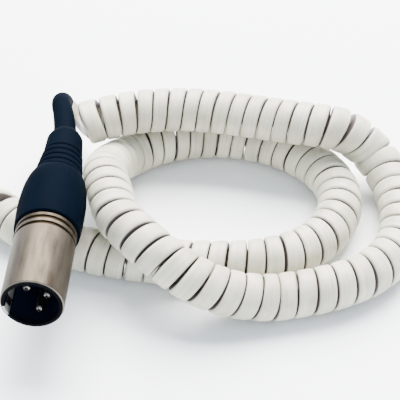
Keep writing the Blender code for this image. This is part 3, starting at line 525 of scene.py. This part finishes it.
def bar_mesh(radius, half_length, height, depth):
    """A round bar across the connector."""
    shape = bmesh.new()
    bmesh.ops.create_cone(
        shape, cap_ends=True, segments=BAR_SIDES, radius1=radius, radius2=radius,
        depth=2 * half_length, matrix=Matrix.Rotation(math.pi / 2, 4, "Y"),
    )
    bmesh.ops.translate(shape, verts=shape.verts, vec=(0.0, height, -depth))
    return mesh_of("cutter", shape)


def with_cuts(mesh, cutters):
    """A mesh with the cutters' shapes taken out of it."""
    target = placed("target", mesh)
    helpers = [placed("cutter", cutter) for cutter in cutters]
    for helper in helpers:
        step = target.modifiers.new("cut", "BOOLEAN")
        step.operation = "DIFFERENCE"
        step.solver = "EXACT"
        step.object = helper
    bpy.context.view_layer.update()
    seen = target.evaluated_get(bpy.context.evaluated_depsgraph_get())
    made = bpy.data.meshes.new_from_object(seen)
    for thing in [target, *helpers]:
        bpy.data.objects.remove(thing, do_unlink=True)
    return smoothed(made)


def contact_places(roll, order):
    radius = CONTACT_CIRCLE / 2
    turns = [order * angle + roll for angle in CONTACT_ANGLES]
    return [(radius * math.cos(turn), radius * math.sin(turn)) for turn in turns]


def grooves_start(end):
    return end - GROOVES * (GROOVE_WIDTH + GROOVE_LAND)


def grooved_barrel(start, end):
    """The outside of a shell's barrel, with its grooves just in front of the bushing."""
    points = [(SHELL_RADIUS - SHELL_EDGE, start), (SHELL_RADIUS, start + SHELL_EDGE)]
    for step in range(GROOVES):
        front = grooves_start(end) + step * (GROOVE_WIDTH + GROOVE_LAND)
        back = front + GROOVE_WIDTH
        floor = SHELL_RADIUS - GROOVE_DEPTH
        points += [(SHELL_RADIUS, front), (floor, front), (floor, back), (SHELL_RADIUS, back)]
    return points + [(SHELL_RADIUS, end)]


def thread_tail(exposed):
    end = exposed + THREAD_LENGTH
    return [(THREAD_RADIUS, exposed), (THREAD_RADIUS, end - SHELL_EDGE), (THREAD_RADIUS - SHELL_EDGE, end)]


def marked_barrel(made, end):
    """Mark a barrel's grooves and the land behind them, where tarnish gathers, and the outer edge of its
    mouth, where a highlight is painted.
    """
    last = end - GROOVE_LAND
    corners = np.array([corner.co for corner in made.data.vertices])
    radius = np.hypot(corners[:, 0], corners[:, 1])
    depth = -corners[:, 2]
    near = (depth > grooves_start(end) - GROOVE_EDGE) & (depth < end + GROOVE_EDGE)
    marks = near * np.clip((SHELL_RADIUS - radius) / GROOVE_EDGE, 0, 1)
    marks = np.maximum(marks, LAND_TARNISH * (near & (depth > last)))
    mark(made.data, "groove", marks)
    # A highlight painted into the colour round the mouth's outer edge
    painted_rim_highlight = np.clip((RIM_HIGHLIGHT_REACH - depth) / RIM_FADE, 0, 1) * (radius > RIM_RADIUS)
    mark(made.data, "painted_rim_highlight", painted_rim_highlight)
    return made


def bare_inside(made, finish):
    """Give the inside of a barrel its own finish."""
    made.data.materials.append(finish)
    for face in made.data.polygons:
        middle = Vector(face.center).to_2d()
        faces_in = face.normal.to_2d().dot(middle) < 0
        face.material_index = int(faces_in and middle.length < SHELL_RADIUS - GROOVE_DEPTH)


def male_shell(finish, inside):
    profile = grooved_barrel(0.0, MALE_EXPOSED) + thread_tail(MALE_EXPOSED)
    step = MALE_INSERT_END + PRESS_GAP
    profile += [(THREAD_BORE, MALE_EXPOSED + THREAD_LENGTH), (THREAD_BORE, step), (SHELL_BORE, step)]
    profile += [(SHELL_BORE, SHELL_EDGE), (SHELL_BORE + SHELL_EDGE, 0.0)]
    low = (0.0, -KEY_WIDTH / 2, -CATCH_FROM_RIM - CATCH_LENGTH)
    high = (SHELL_BORE + CATCH_DEPTH, KEY_WIDTH / 2, -CATCH_FROM_RIM)
    catch = box_mesh(low, high, KEY_ANGLE + MALE_ROLL)
    mesh = with_cuts(turned("male_barrel", softened(profile)), [catch])
    made = piece("male_barrel", mesh, finish, MALE, replaces=("male_shell",))
    bare_inside(made, inside)
    return marked_barrel(made, MALE_EXPOSED)


def male_insert(finish):
    profile = (
        (0.0, MALE_INSERT_END), (LINER_RADIUS, MALE_INSERT_END), (LINER_RADIUS, -LIP_GAP),
        (LIP_RADIUS, -LIP_GAP), (LIP_RADIUS, -LIP_FRONT), (LINER_BORE + LIP_FRONT, -LIP_FRONT),
        (LINER_BORE, LIP_FRONT), (LINER_BORE, CAVITY_DEPTH), (0.0, CAVITY_DEPTH),
    )
    hole = PIN_RADIUS + PRESS_GAP
    ends = (CAVITY_DEPTH - hole, MALE_INSERT_END + hole)
    bore = ((0.0, ends[0]), (hole, ends[0]), (hole, ends[1]), (0.0, ends[1]))
    places = contact_places(MALE_ROLL, MALE_ORDER)
    cutters = [turned("cutter", bore, CONTACT_SIDES, place) for place in places]
    low = (LINER_BORE - KEY_SLOT / 2, -KEY_SLOT / 2, -CAVITY_DEPTH)
    high = (LINER_RADIUS + KEY_SLOT / 2, KEY_SLOT / 2, 2 * LIP_FRONT)
    cutters.append(box_mesh(low, high, KEY_ANGLE + MALE_ROLL))
    mesh = with_cuts(turned("male_lining", profile), cutters)
    made = piece("male_lining", mesh, finish, MALE, replaces=("male_insert",))
    depths = [-corner.co.z for corner in made.data.vertices]
    marks = np.clip(np.array(depths) / CAVITY_DEPTH, 0, 1)
    mark(made.data, "cavity", marks)
    return made


def solder_cup(start):
    end = start + CUP_LENGTH
    return [(CUP_RADIUS, start), (CUP_RADIUS, end), (CUP_BORE, end), (CUP_BORE, end - CUP_DEPTH)]


def male_contacts(finish):
    cup_start = MALE_INSERT_END + PRESS_GAP
    flat = math.asin(PIN_DIMPLE / PIN_RADIUS)
    angles = [flat + (math.pi / 2 - flat) * step / PIN_TIP_STEPS for step in range(PIN_TIP_STEPS + 1)]
    floor = PIN_SETBACK + PIN_DIMPLE_DEPTH
    tip = [(0.0, floor), (PIN_DIMPLE_FLOOR * PIN_DIMPLE, floor)]
    for angle in angles:
        tip.append((PIN_RADIUS * math.sin(angle), PIN_SETBACK + PIN_RADIUS * (1 - math.cos(angle))))
    cup = solder_cup(cup_start)
    profile = tip + [(PIN_RADIUS, cup_start)] + cup + [(0.0, cup[-1][1])]
    for number, place in enumerate(contact_places(MALE_ROLL, MALE_ORDER), 1):
        name = f"male_contact_{number}"
        mesh = turned(name, profile, CONTACT_SIDES, place)
        piece(name, mesh, finish, MALE, replaces=(f"male_pin_{number}",))


def female_shell(finish):
    nose = [(NOSE_RADIUS - SHELL_EDGE, 0.0), (NOSE_RADIUS, SHELL_EDGE), (NOSE_RADIUS, NOSE_LENGTH)]
    profile = nose + grooved_barrel(NOSE_LENGTH, FEMALE_EXPOSED) + thread_tail(FEMALE_EXPOSED)
    profile += [(NOSE_BORE, FEMALE_EXPOSED + THREAD_LENGTH), (NOSE_BORE, 0.0)]
    low = (-LATCH_SLOT, 0.0, -LATCH_WINDOW_END)
    high = (LATCH_SLOT, 2 * SHELL_RADIUS, -LATCH_WINDOW_START)
    mesh = with_cuts(turned("female_barrel", softened(profile)), [box_mesh(low, high)])
    made = piece("female_barrel", mesh, finish, FEMALE, replaces=("female_shell",))
    return marked_barrel(made, FEMALE_EXPOSED)


def female_insert(finish):
    profile = (
        (0.0, FEMALE_INSERT_END), (FEMALE_INSERT_RADIUS, FEMALE_INSERT_END),
        (FEMALE_INSERT_RADIUS, FEMALE_INSERT_SETBACK), (0.0, FEMALE_INSERT_SETBACK),
    )
    hole = SOCKET_RADIUS + PRESS_GAP
    bore = ((0.0, -hole), (hole, -hole), (hole, FEMALE_INSERT_END + hole), (0.0, FEMALE_INSERT_END + hole))
    places = contact_places(FEMALE_ROLL, FEMALE_ORDER)
    cutters = [turned("cutter", bore, CONTACT_SIDES, place) for place in places]
    low = (-LATCH_SLOT, LATCH_GROOVE_FLOOR, -FEMALE_INSERT_END - SLIDE_GAP)
    high = (LATCH_SLOT, 2 * SHELL_RADIUS, -LATCH_WINDOW_START)
    cutters.append(box_mesh(low, high))
    cutters.append(bar_mesh(PIVOT_BORE, 2 * SHELL_RADIUS, PIVOT_HEIGHT, PIVOT_DEPTH))
    mesh = with_cuts(turned("female_block", profile), cutters)
    return piece("female_block", mesh, finish, FEMALE, replaces=("female_insert",))


def female_contacts(finish):
    cup_start = FEMALE_INSERT_END + PRESS_GAP
    cup = solder_cup(cup_start)
    start = FEMALE_INSERT_SETBACK
    bore = [(0.0, SOCKET_DEPTH), (SOCKET_BORE, SOCKET_DEPTH), (SOCKET_BORE, start), (SOCKET_RADIUS, start)]
    profile = bore + [(SOCKET_RADIUS, cup_start)] + cup + [(0.0, cup[-1][1])]
    made = []
    for number, place in enumerate(contact_places(FEMALE_ROLL, FEMALE_ORDER), 1):
        name = f"female_contact_{number}"
        mesh = turned(name, profile, CONTACT_SIDES, place)
        replaced = (f"female_socket_{number}",)
        made.append(piece(name, mesh, finish, FEMALE, replaces=replaced))
    return made


def leaf_spring(finish):
    """Folded leaf under the latch, on its own copy of the CAD node's mesh."""
    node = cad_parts["female_latch_spring"]
    mesh = node.data.copy()
    place = node.matrix_world.copy()
    made = piece("latch_leaf", mesh, finish, place, replaces=("female_latch_spring",))
    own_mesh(made)
    return made


def bushing_end(exposed):
    return exposed + SCREW_GAP + BUSHING_LENGTH


def bushing(name, node, exposed, finish, place):
    """Smooth collar with a slight bulge and a round shoulder."""
    start = exposed + SCREW_GAP
    end = bushing_end(exposed)
    flange = exposed + THREAD_LENGTH + SCREW_GAP + CHUCK_FLANGE + SCREW_GAP
    cone = flange + CHUCK_BODY
    nose = cone + CHUCK_CONE
    outside = [(BUSHING_EDGE - SHELL_EDGE, start), (BUSHING_EDGE, start + SHELL_EDGE)]
    for step in range(1, BUSHING_STEPS):
        share = step / BUSHING_STEPS
        bulge = math.sin(share * math.pi / 2)
        radius = BUSHING_EDGE + (BUSHING_BULGE - BUSHING_EDGE) * bulge
        outside.append((radius, start + SHELL_EDGE + (BUSHING_STRAIGHT - SHELL_EDGE) * share))
    for step in range(BUSHING_STEPS + 1):
        angle = math.pi / 2 * step / BUSHING_STEPS
        radius = BUSHING_BULGE - (BUSHING_BULGE - BUSHING_TOP) * (1 - math.cos(angle))
        along = start + BUSHING_STRAIGHT + (BUSHING_LENGTH - BUSHING_STRAIGHT) * math.sin(angle)
        outside.append((radius, along))
    inside = [
        (CHUCK_NOSE + SCREW_GAP, end), (CHUCK_NOSE + SCREW_GAP, nose), (CHUCK_RADIUS + SCREW_GAP, cone),
        (CHUCK_RADIUS + SCREW_GAP, flange), (THREAD_RADIUS + SCREW_GAP, flange),
        (THREAD_RADIUS + SCREW_GAP, start),
    ]
    mesh = turned(name, outside + inside)
    return piece(name, mesh, finish, place, replaces=(node,))


def relief_end(exposed):
    ribs = RIBS * RIB_PITCH
    return bushing_end(exposed) + SCREW_GAP + ribs + COLLAR_LENGTH + SHOULDER_LENGTH + SLEEVE_LENGTH


def bends_start(exposed, bends):
    return relief_end(exposed) - sum(length for length, _, _ in bends)


def bent(depth, exposed, bends):
    """Middle of the bend relief at a depth, and its turn there, after the bends up to that depth."""
    start = bends_start(exposed, bends)
    past = max(0.0, depth - start)
    back = Vector((0.0, 0.0, -1.0))
    middle = back * min(depth, start)
    turn = Quaternion()
    for length, angle, direction in bends:
        share = min(past, length) / length
        past = max(0.0, past - length)
        sideways = Vector((math.cos(direction), math.sin(direction), 0.0))
        radius = length / angle
        along = back * radius * math.sin(angle * share)
        aside = sideways * radius * (1 - math.cos(angle * share))
        middle = middle + turn @ (along + aside)
        turn = turn @ Quaternion(back.cross(sideways), angle * share)
    return middle, turn


def bend_relief(name, node, exposed, bends, finish, place):
    """Ribbed rubber piece with a collar, a hollow shoulder and a thin sleeve round the cord."""
    start = bushing_end(exposed) + SCREW_GAP
    neck = bushing_end(exposed) - NECK_LENGTH
    outside = [(CHUCK_NOSE, neck), (CHUCK_NOSE, start)]
    for rib in range(RIBS):
        crest = RIB_FIRST + (RIB_LAST - RIB_FIRST) * rib / RIBS
        front = start + rib * RIB_PITCH
        floor = front + RIB_CREST + RIB_SLOPE
        outside += [(crest, front), (crest, front + RIB_CREST)]
        outside += [(crest - RIB_GROOVE, floor), (crest - RIB_GROOVE, floor + RIB_FLOOR)]
    collar = start + RIBS * RIB_PITCH
    shoulder = collar + COLLAR_LENGTH
    sleeve = shoulder + SHOULDER_LENGTH
    end = relief_end(exposed)
    outside += [(RIB_LAST, collar), (COLLAR_END, shoulder)]
    halfway = COLLAR_END + SHOULDER_HOLLOW * (SLEEVE_ROOT - COLLAR_END)
    outside += [(halfway, shoulder + SHOULDER_LENGTH / 2)]
    taper = (SLEEVE_TIP - SLEEVE_ROOT) / (end - sleeve)
    steps = [sleeve + (end - sleeve) * step / SLEEVE_STEPS for step in range(SLEEVE_STEPS)]
    outside += [(SLEEVE_ROOT + taper * (depth - sleeve), depth) for depth in steps]
    tip_edge = (SLEEVE_TIP - CORD_BORE) / 2
    outside += [(SLEEVE_TIP, end - tip_edge), (SLEEVE_TIP - tip_edge, end)]
    inside = [(CORD_BORE, depth) for depth in (end, *steps[::-1], shoulder, collar, neck)]
    mesh = turned(name, softened(outside, BOOT_CORNER) + inside, BOOT_SIDES)
    for corner in mesh.vertices:
        middle, turn = bent(-corner.co.z, exposed, bends)
        corner.co = middle + turn @ Vector((corner.co.x, corner.co.y, 0.0))
    return piece(name, mesh, finish, place, replaces=(node,))


def smooth_route(points, step):
    """Points at an even step along a natural cubic curve through the given ones."""
    given = np.array(points, float)
    spans = np.linalg.norm(np.diff(given, axis=0), axis=1)
    count = len(given)
    rows = np.eye(count)
    right = np.zeros(given.shape)
    for i in range(1, count - 1):
        rows[i, i - 1 : i + 2] = (spans[i - 1], 2 * (spans[i - 1] + spans[i]), spans[i])
        right[i] = 6 * ((given[i + 1] - given[i]) / spans[i] - (given[i] - given[i - 1]) / spans[i - 1])
    bends = np.linalg.solve(rows, right)
    fine = []
    for i in range(count - 1):
        for b in np.linspace(0, 1, ROUTE_SPLITS, endpoint=False):
            a = 1 - b
            curve = (a**3 - a) * bends[i] + (b**3 - b) * bends[i + 1]
            fine.append(a * given[i] + b * given[i + 1] + spans[i] ** 2 / 6 * curve)
    fine = np.array(fine + [given[-1]])
    along = np.concatenate([[0], np.cumsum(np.linalg.norm(np.diff(fine, axis=0), axis=1))])
    places = np.arange(0, along[-1], step)
    return np.stack([np.interp(places, along, fine[:, k]) for k in range(given.shape[1])], axis=1)


def curls():
    """Middle of the cord through all its curls, the way out from the curl's axis, and the band's width."""
    axis = smooth_route([Vector(point) * MM - ORIGIN for point in CURL_ROUTE], ROUTE_STEP)
    pitch = np.interp(ROUTE_STEP * np.arange(len(axis)), *zip(*CURL_PITCHES))
    wound = CURL_START_TURN + np.concatenate([[0.0], np.cumsum(ROUTE_STEP / pitch[:-1])])
    axis[:, 2] = np.maximum(axis[:, 2], CURL_DIAMETER / 2 + TABLE_GAP)
    ahead = unit(np.gradient(axis, axis=0))
    bend = np.gradient(ahead, axis=0) / ROUTE_STEP
    window = np.ones(2 * BEND_WINDOW + 1) / (2 * BEND_WINDOW + 1)
    padded = np.pad(bend, ((BEND_WINDOW, BEND_WINDOW), (0, 0)), mode="edge")
    bend = np.stack([np.convolve(padded[:, k], window, mode="valid") for k in range(3)], axis=1)
    radius = (CURL_DIAMETER - CORD_THICKNESS) / 2
    count = round((CURL_END_TURN - CURL_START_TURN) * POINTS_PER_CURL)
    turns = np.linspace(CURL_START_TURN, CURL_END_TURN, count + 1)
    at = np.concatenate([axis, ahead, bend, pitch[:, None]], axis=1)
    at = np.stack([np.interp(turns, wound, at[:, k]) for k in range(at.shape[1])], axis=1)
    middle = at[:, 0:3]
    ahead = unit(at[:, 3:6])
    side = unit(np.cross(ahead, (0.0, 0.0, 1.0)))
    above = np.cross(side, ahead)
    phase = 2 * math.pi * turns[:, None]
    out = np.cos(phase) * side + np.sin(phase) * above
    lean = np.interp(turns, *zip(*CURL_LEANS))[:, None]
    stray = sum(CURL_STRAY * np.sin(rate * turns + start) for rate, start in STRAY_WAVES)
    after = np.interp(turns + 1, turns, stray) - stray
    before = stray - np.interp(turns - 1, turns, stray)
    slide = -radius * np.sin(phase) * lean
    room = at[:, 9] * (1 - radius * (at[:, 6:9] * out).sum(axis=1)) - CURL_GAP
    widest = np.interp(room, *zip(*CURL_BANDS))
    room = room + np.gradient(slide[:, 0], turns) + radius * np.cos(phase[:, 0]) * 2 * math.pi * lean[:, 0]
    room = room + np.minimum(after, before)
    slide = slide + stray[:, None]
    return middle + radius * out + slide * ahead, out, np.clip(room, CURL_BAND_LEAST, widest)


def bridge(start, start_way, end, end_way, pull):
    """Points between two ends on a curve that leaves and arrives along the given ways."""
    reach = pull * np.linalg.norm(end - start)
    made = []
    for share in np.linspace(0, 1, BRIDGE_STEPS + 2)[1:-1]:
        stay = 2 * share**3 - 3 * share**2 + 1
        leave = share**3 - 2 * share**2 + share
        arrive = share**3 - share**2
        made.append(stay * start + leave * reach * start_way + (1 - stay) * end + arrive * reach * end_way)
    return np.array(made)


def inside_connector(place, exposed, bends):
    """The cord from its jacket's end to a straight bit past the sleeve's tip, and its way out there."""
    first = exposed + THREAD_LENGTH + JACKET_PAST_THREAD
    last = relief_end(exposed)
    depths = np.linspace(first, last, INSIDE_STEPS)
    points = [place @ bent(depth, exposed, bends)[0] for depth in depths]
    way = place.to_3x3() @ (bent(last, exposed, bends)[1] @ Vector((0.0, 0.0, -1.0)))
    points.append(points[-1] + way * CORD_WIDTH)
    return np.array(points), np.array(way)


def carried_frame(points, out, known):
    """Carry a known outward way along points without twist, starting from the known end."""
    ways = unit(np.gradient(points, axis=0))
    order = range(len(points)) if known == 0 else range(len(points) - 1, -1, -1)
    carried = np.zeros_like(points)
    for i in order:
        out = out - ways[i] * np.dot(out, ways[i])
        out = out / np.linalg.norm(out)
        carried[i] = out
    return carried


def section():
    """Corners of the cord's section on a unit rounded square: across the band and out from the curl."""
    turns = [2 * math.pi * step / SECTION_SIDES for step in range(SECTION_SIDES)]
    power = 2 / SECTION_POWER
    return [
        (math.copysign(abs(math.cos(turn)) ** power, math.cos(turn)),
         math.copysign(abs(math.sin(turn)) ** power, math.sin(turn)))
        for turn in turns
    ]


def cord_line():
    """Middle of the whole cord, from the plug to the far connector, with its outward ways and its widths."""
    first, first_way = inside_connector(MALE, MALE_EXPOSED, MALE_BENDS)
    last, last_way = inside_connector(FEMALE, FEMALE_EXPOSED, FEMALE_BENDS)
    wound, out, band = curls()
    start_way = unit(wound[1] - wound[0])
    end_way = unit(wound[-1] - wound[-2])
    bend = np.array(LEAD_IN_BEND - ORIGIN)
    bend_way = unit(np.array(LEAD_IN_WAY))
    down = bridge(first[-1], first_way, bend, bend_way, LEAD_IN_PULLS[0])
    back = bridge(bend, bend_way, wound[0], start_way, LEAD_IN_PULLS[1])
    lead_in = np.concatenate([first, down, [bend], back])
    away = bridge(wound[-1], end_way, last[-1], -last_way, LEAD_OUT_PULL)
    lead_out = np.concatenate([away, last[::-1]])
    points = np.concatenate([lead_in, wound, lead_out])
    outs = [carried_frame(lead_in, out[0], -1), out, carried_frame(lead_out, out[-1], 0)]
    widths = [np.full(len(lead_in), CORD_WIDTH), band, np.full(len(lead_out), CORD_WIDTH)]
    return points, np.concatenate(outs), np.concatenate(widths)


def tube_mesh(name, rings):
    """A closed tube through rings of corners."""
    shape = bmesh.new()
    corners = [[shape.verts.new(corner) for corner in ring] for ring in rings]
    for near, far in zip(corners, corners[1:]):
        for side in range(SECTION_SIDES):
            after = (side + 1) % SECTION_SIDES
            shape.faces.new((near[side], near[after], far[after], far[side]))
    shape.faces.new(corners[0][::-1])
    shape.faces.new(corners[-1])
    bmesh.ops.recalc_face_normals(shape, faces=shape.faces)
    mesh = mesh_of(name, shape)
    mesh.shade_smooth()
    return mesh


def marked_jacket(mesh, points):
    """Mark the walls between curls, where shade is painted, and each corner's place along and round the cord.
    """
    across, outward = np.array(section()).T
    count = len(points)
    edge = np.clip((abs(across) - WALL_START) / WALL_FADE, 0, 1)
    depth = np.clip((WALL_TOP - outward) / WALL_DEPTH, 0, 1)
    mark(mesh, "painted_wall_shade", np.tile(edge * depth, count))
    steps = np.linalg.norm(np.diff(points, axis=0), axis=1)
    along = np.repeat(np.concatenate([[0.0], np.cumsum(steps)]), SECTION_SIDES)
    sideways, out = (np.tile(corners, count) * CORD_WIDTH / 2 for corners in (across, outward))
    lay = np.stack([along, sideways, out], axis=1)
    mesh.attributes.new("lay", "FLOAT_VECTOR", "POINT").data.foreach_set("vector", lay.ravel())


def curly_cord(finish):
    """The whole cord as one unbroken tube, from inside the plug to inside the far connector."""
    points, outs, widths = cord_line()
    ways = unit(np.gradient(points, axis=0))
    outs = unit(outs - ways * (outs * ways).sum(axis=1, keepdims=True))
    across = np.cross(ways, outs) * widths[:, None] / 2
    outs = outs * CORD_THICKNESS / 2
    rings = np.stack([points + across * x + outs * y for x, y in section()], axis=1)
    mesh = tube_mesh("curly_jacket", rings)
    marked_jacket(mesh, points)
    made = piece("curly_jacket", mesh, finish, replaces=("curly_cord",))


def carry_over(finishes):
    """Give each CAD node that still shows its own finish."""
    for node, finish in finishes.items():
        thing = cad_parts[node]
        thing.data.materials.clear()
        thing.data.materials.append(finish)


def pale_floor():
    """Pale floor with faint clouds."""
    shape = bmesh.new()
    bmesh.ops.create_grid(shape, x_segments=2, y_segments=2, size=FLOOR_SIZE)
    mesh = mesh_of("floor", shape)
    made = placed("floor", mesh)
    finish, tree, shader = shader_of("pale_floor", FLOOR_ROUGHNESS)
    colour = ramp(tree, noise(tree, FLOOR_CLOUD_SCALE, detail=2.0), FLOOR_STOPS)
    tree.links.new(colour, shader.inputs["Base Color"])
    shader.inputs["Specular IOR Level"].default_value = FLOOR_SHINE
    mesh.materials.append(finish)


def surroundings():
    """Bright surroundings, paler from the horizon up."""
    world = bpy.data.worlds.new("studio")
    bpy.context.scene.world = world
    world.use_nodes = True
    tree = world.node_tree
    sky = tree.nodes["Background"]
    way = tree.nodes.new("ShaderNodeTexCoord")
    split = tree.nodes.new("ShaderNodeSeparateXYZ")
    tree.links.new(way.outputs["Generated"], split.inputs["Vector"])
    tree.links.new(ramp(tree, split.outputs["Z"], SKY_STOPS), sky.inputs["Color"])
    sky.inputs["Strength"].default_value = SKY_STRENGTH


def lights():
    """Soft light from above and behind, and a weak one from the front."""
    for name, place, size, power, colour in LIGHTS:
        light = bpy.data.lights.new(name, "AREA")
        light.energy = power
        light.size = size
        light.color = colour
        lamp = placed(name, light)
        lamp.location = place
        lamp.rotation_euler = (Vector(LIGHT_AIM) - Vector(place)).to_track_quat("-Z", "Y").to_euler()


def camera():
    lens = bpy.data.cameras.new("camera")
    lens.lens = CAMERA_LENS
    lens.sensor_width = CAMERA_SENSOR
    made = placed("camera", lens)
    made.location = CAMERA_PLACE
    made.rotation_euler = (CAMERA_TILT, 0.0, 0.0)
    bpy.context.scene.camera = made


def plug(nickel, bare, black, bright, navy, rubber):
    """The male plug at the near end."""
    male_shell(nickel, bare)
    male_insert(black)
    male_contacts(bright)
    bushing("male_collar", "male_bushing", MALE_EXPOSED, navy, MALE)
    bend_relief("male_boot", "male_bend_relief", MALE_EXPOSED, MALE_BENDS, rubber, MALE)


def far_connector(nickel, black, bright, navy, rubber, steel):
    """The female connector at the far end, as a list of its pieces."""
    made = [female_shell(nickel), female_insert(black), *female_contacts(bright)]
    made.append(bushing("female_collar", "female_bushing", FEMALE_EXPOSED, navy, FEMALE))
    made.append(
        bend_relief("female_boot", "female_bend_relief", FEMALE_EXPOSED, FEMALE_BENDS, rubber, FEMALE)
    )
    made.append(leaf_spring(steel))
    return made


def dress():
    """Every finish, and the pieces that wear them."""
    # Tarnish in the grooves, and a highlight painted round the mouth
    marks = (("groove", GROOVE_TONE), ("painted_rim_highlight", RIM_HIGHLIGHT_TONE))
    nickel = metal_finish("satin_nickel", NICKEL_TONES, roughness=0.54, rings=4000.0, marked=marks)
    bare = metal_finish("bare_nickel", BARE_TONES, roughness=0.6, rings=2000.0)
    bright = metal_finish("bright_contact", CONTACT_TONES, roughness=0.3, rings=3000.0)
    steel = metal_finish("plain_steel", STEEL_TONES, roughness=0.4, rings=2000.0)
    cavity = (("cavity", CAVITY_TONE),)
    black = moulded_finish("black_moulding", BLACK_TONES, roughness=0.5, grain=0.3, shine=0.01, marked=cavity)
    navy = moulded_finish("navy_moulding", NAVY_TONES, roughness=0.6, grain=0.2, shine=0.004)
    rubber = moulded_finish("navy_rubber", RUBBER_TONES, roughness=0.7, grain=0.3, shine=0.008)
    clamp = moulded_finish("clamp_moulding", CLAMP_TONES, roughness=0.5, grain=0.3)
    ivory = cord_finish()
    finishes = {"male_chuck": clamp, "female_chuck": clamp}
    for number, colour in enumerate(WIRE_COLOURS, 1):
        tones = (tuple(WIRE_SHADE * part for part in colour), colour)
        finish = moulded_finish(f"wire_coat_{number}", tones, roughness=0.5, grain=0.3)
        finishes[f"male_wire_{number}"] = finish
        finishes[f"female_wire_{number}"] = finish
    for node in ("female_latch", "female_latch_pin"):
        finishes[node] = steel
    plug(nickel, bare, black, bright, navy, rubber)
    far = far_connector(nickel, black, bright, navy, rubber, steel)
    carry_over(finishes)
    curly_cord(ivory)


camera()
pale_floor()
surroundings()
lights()
dress()
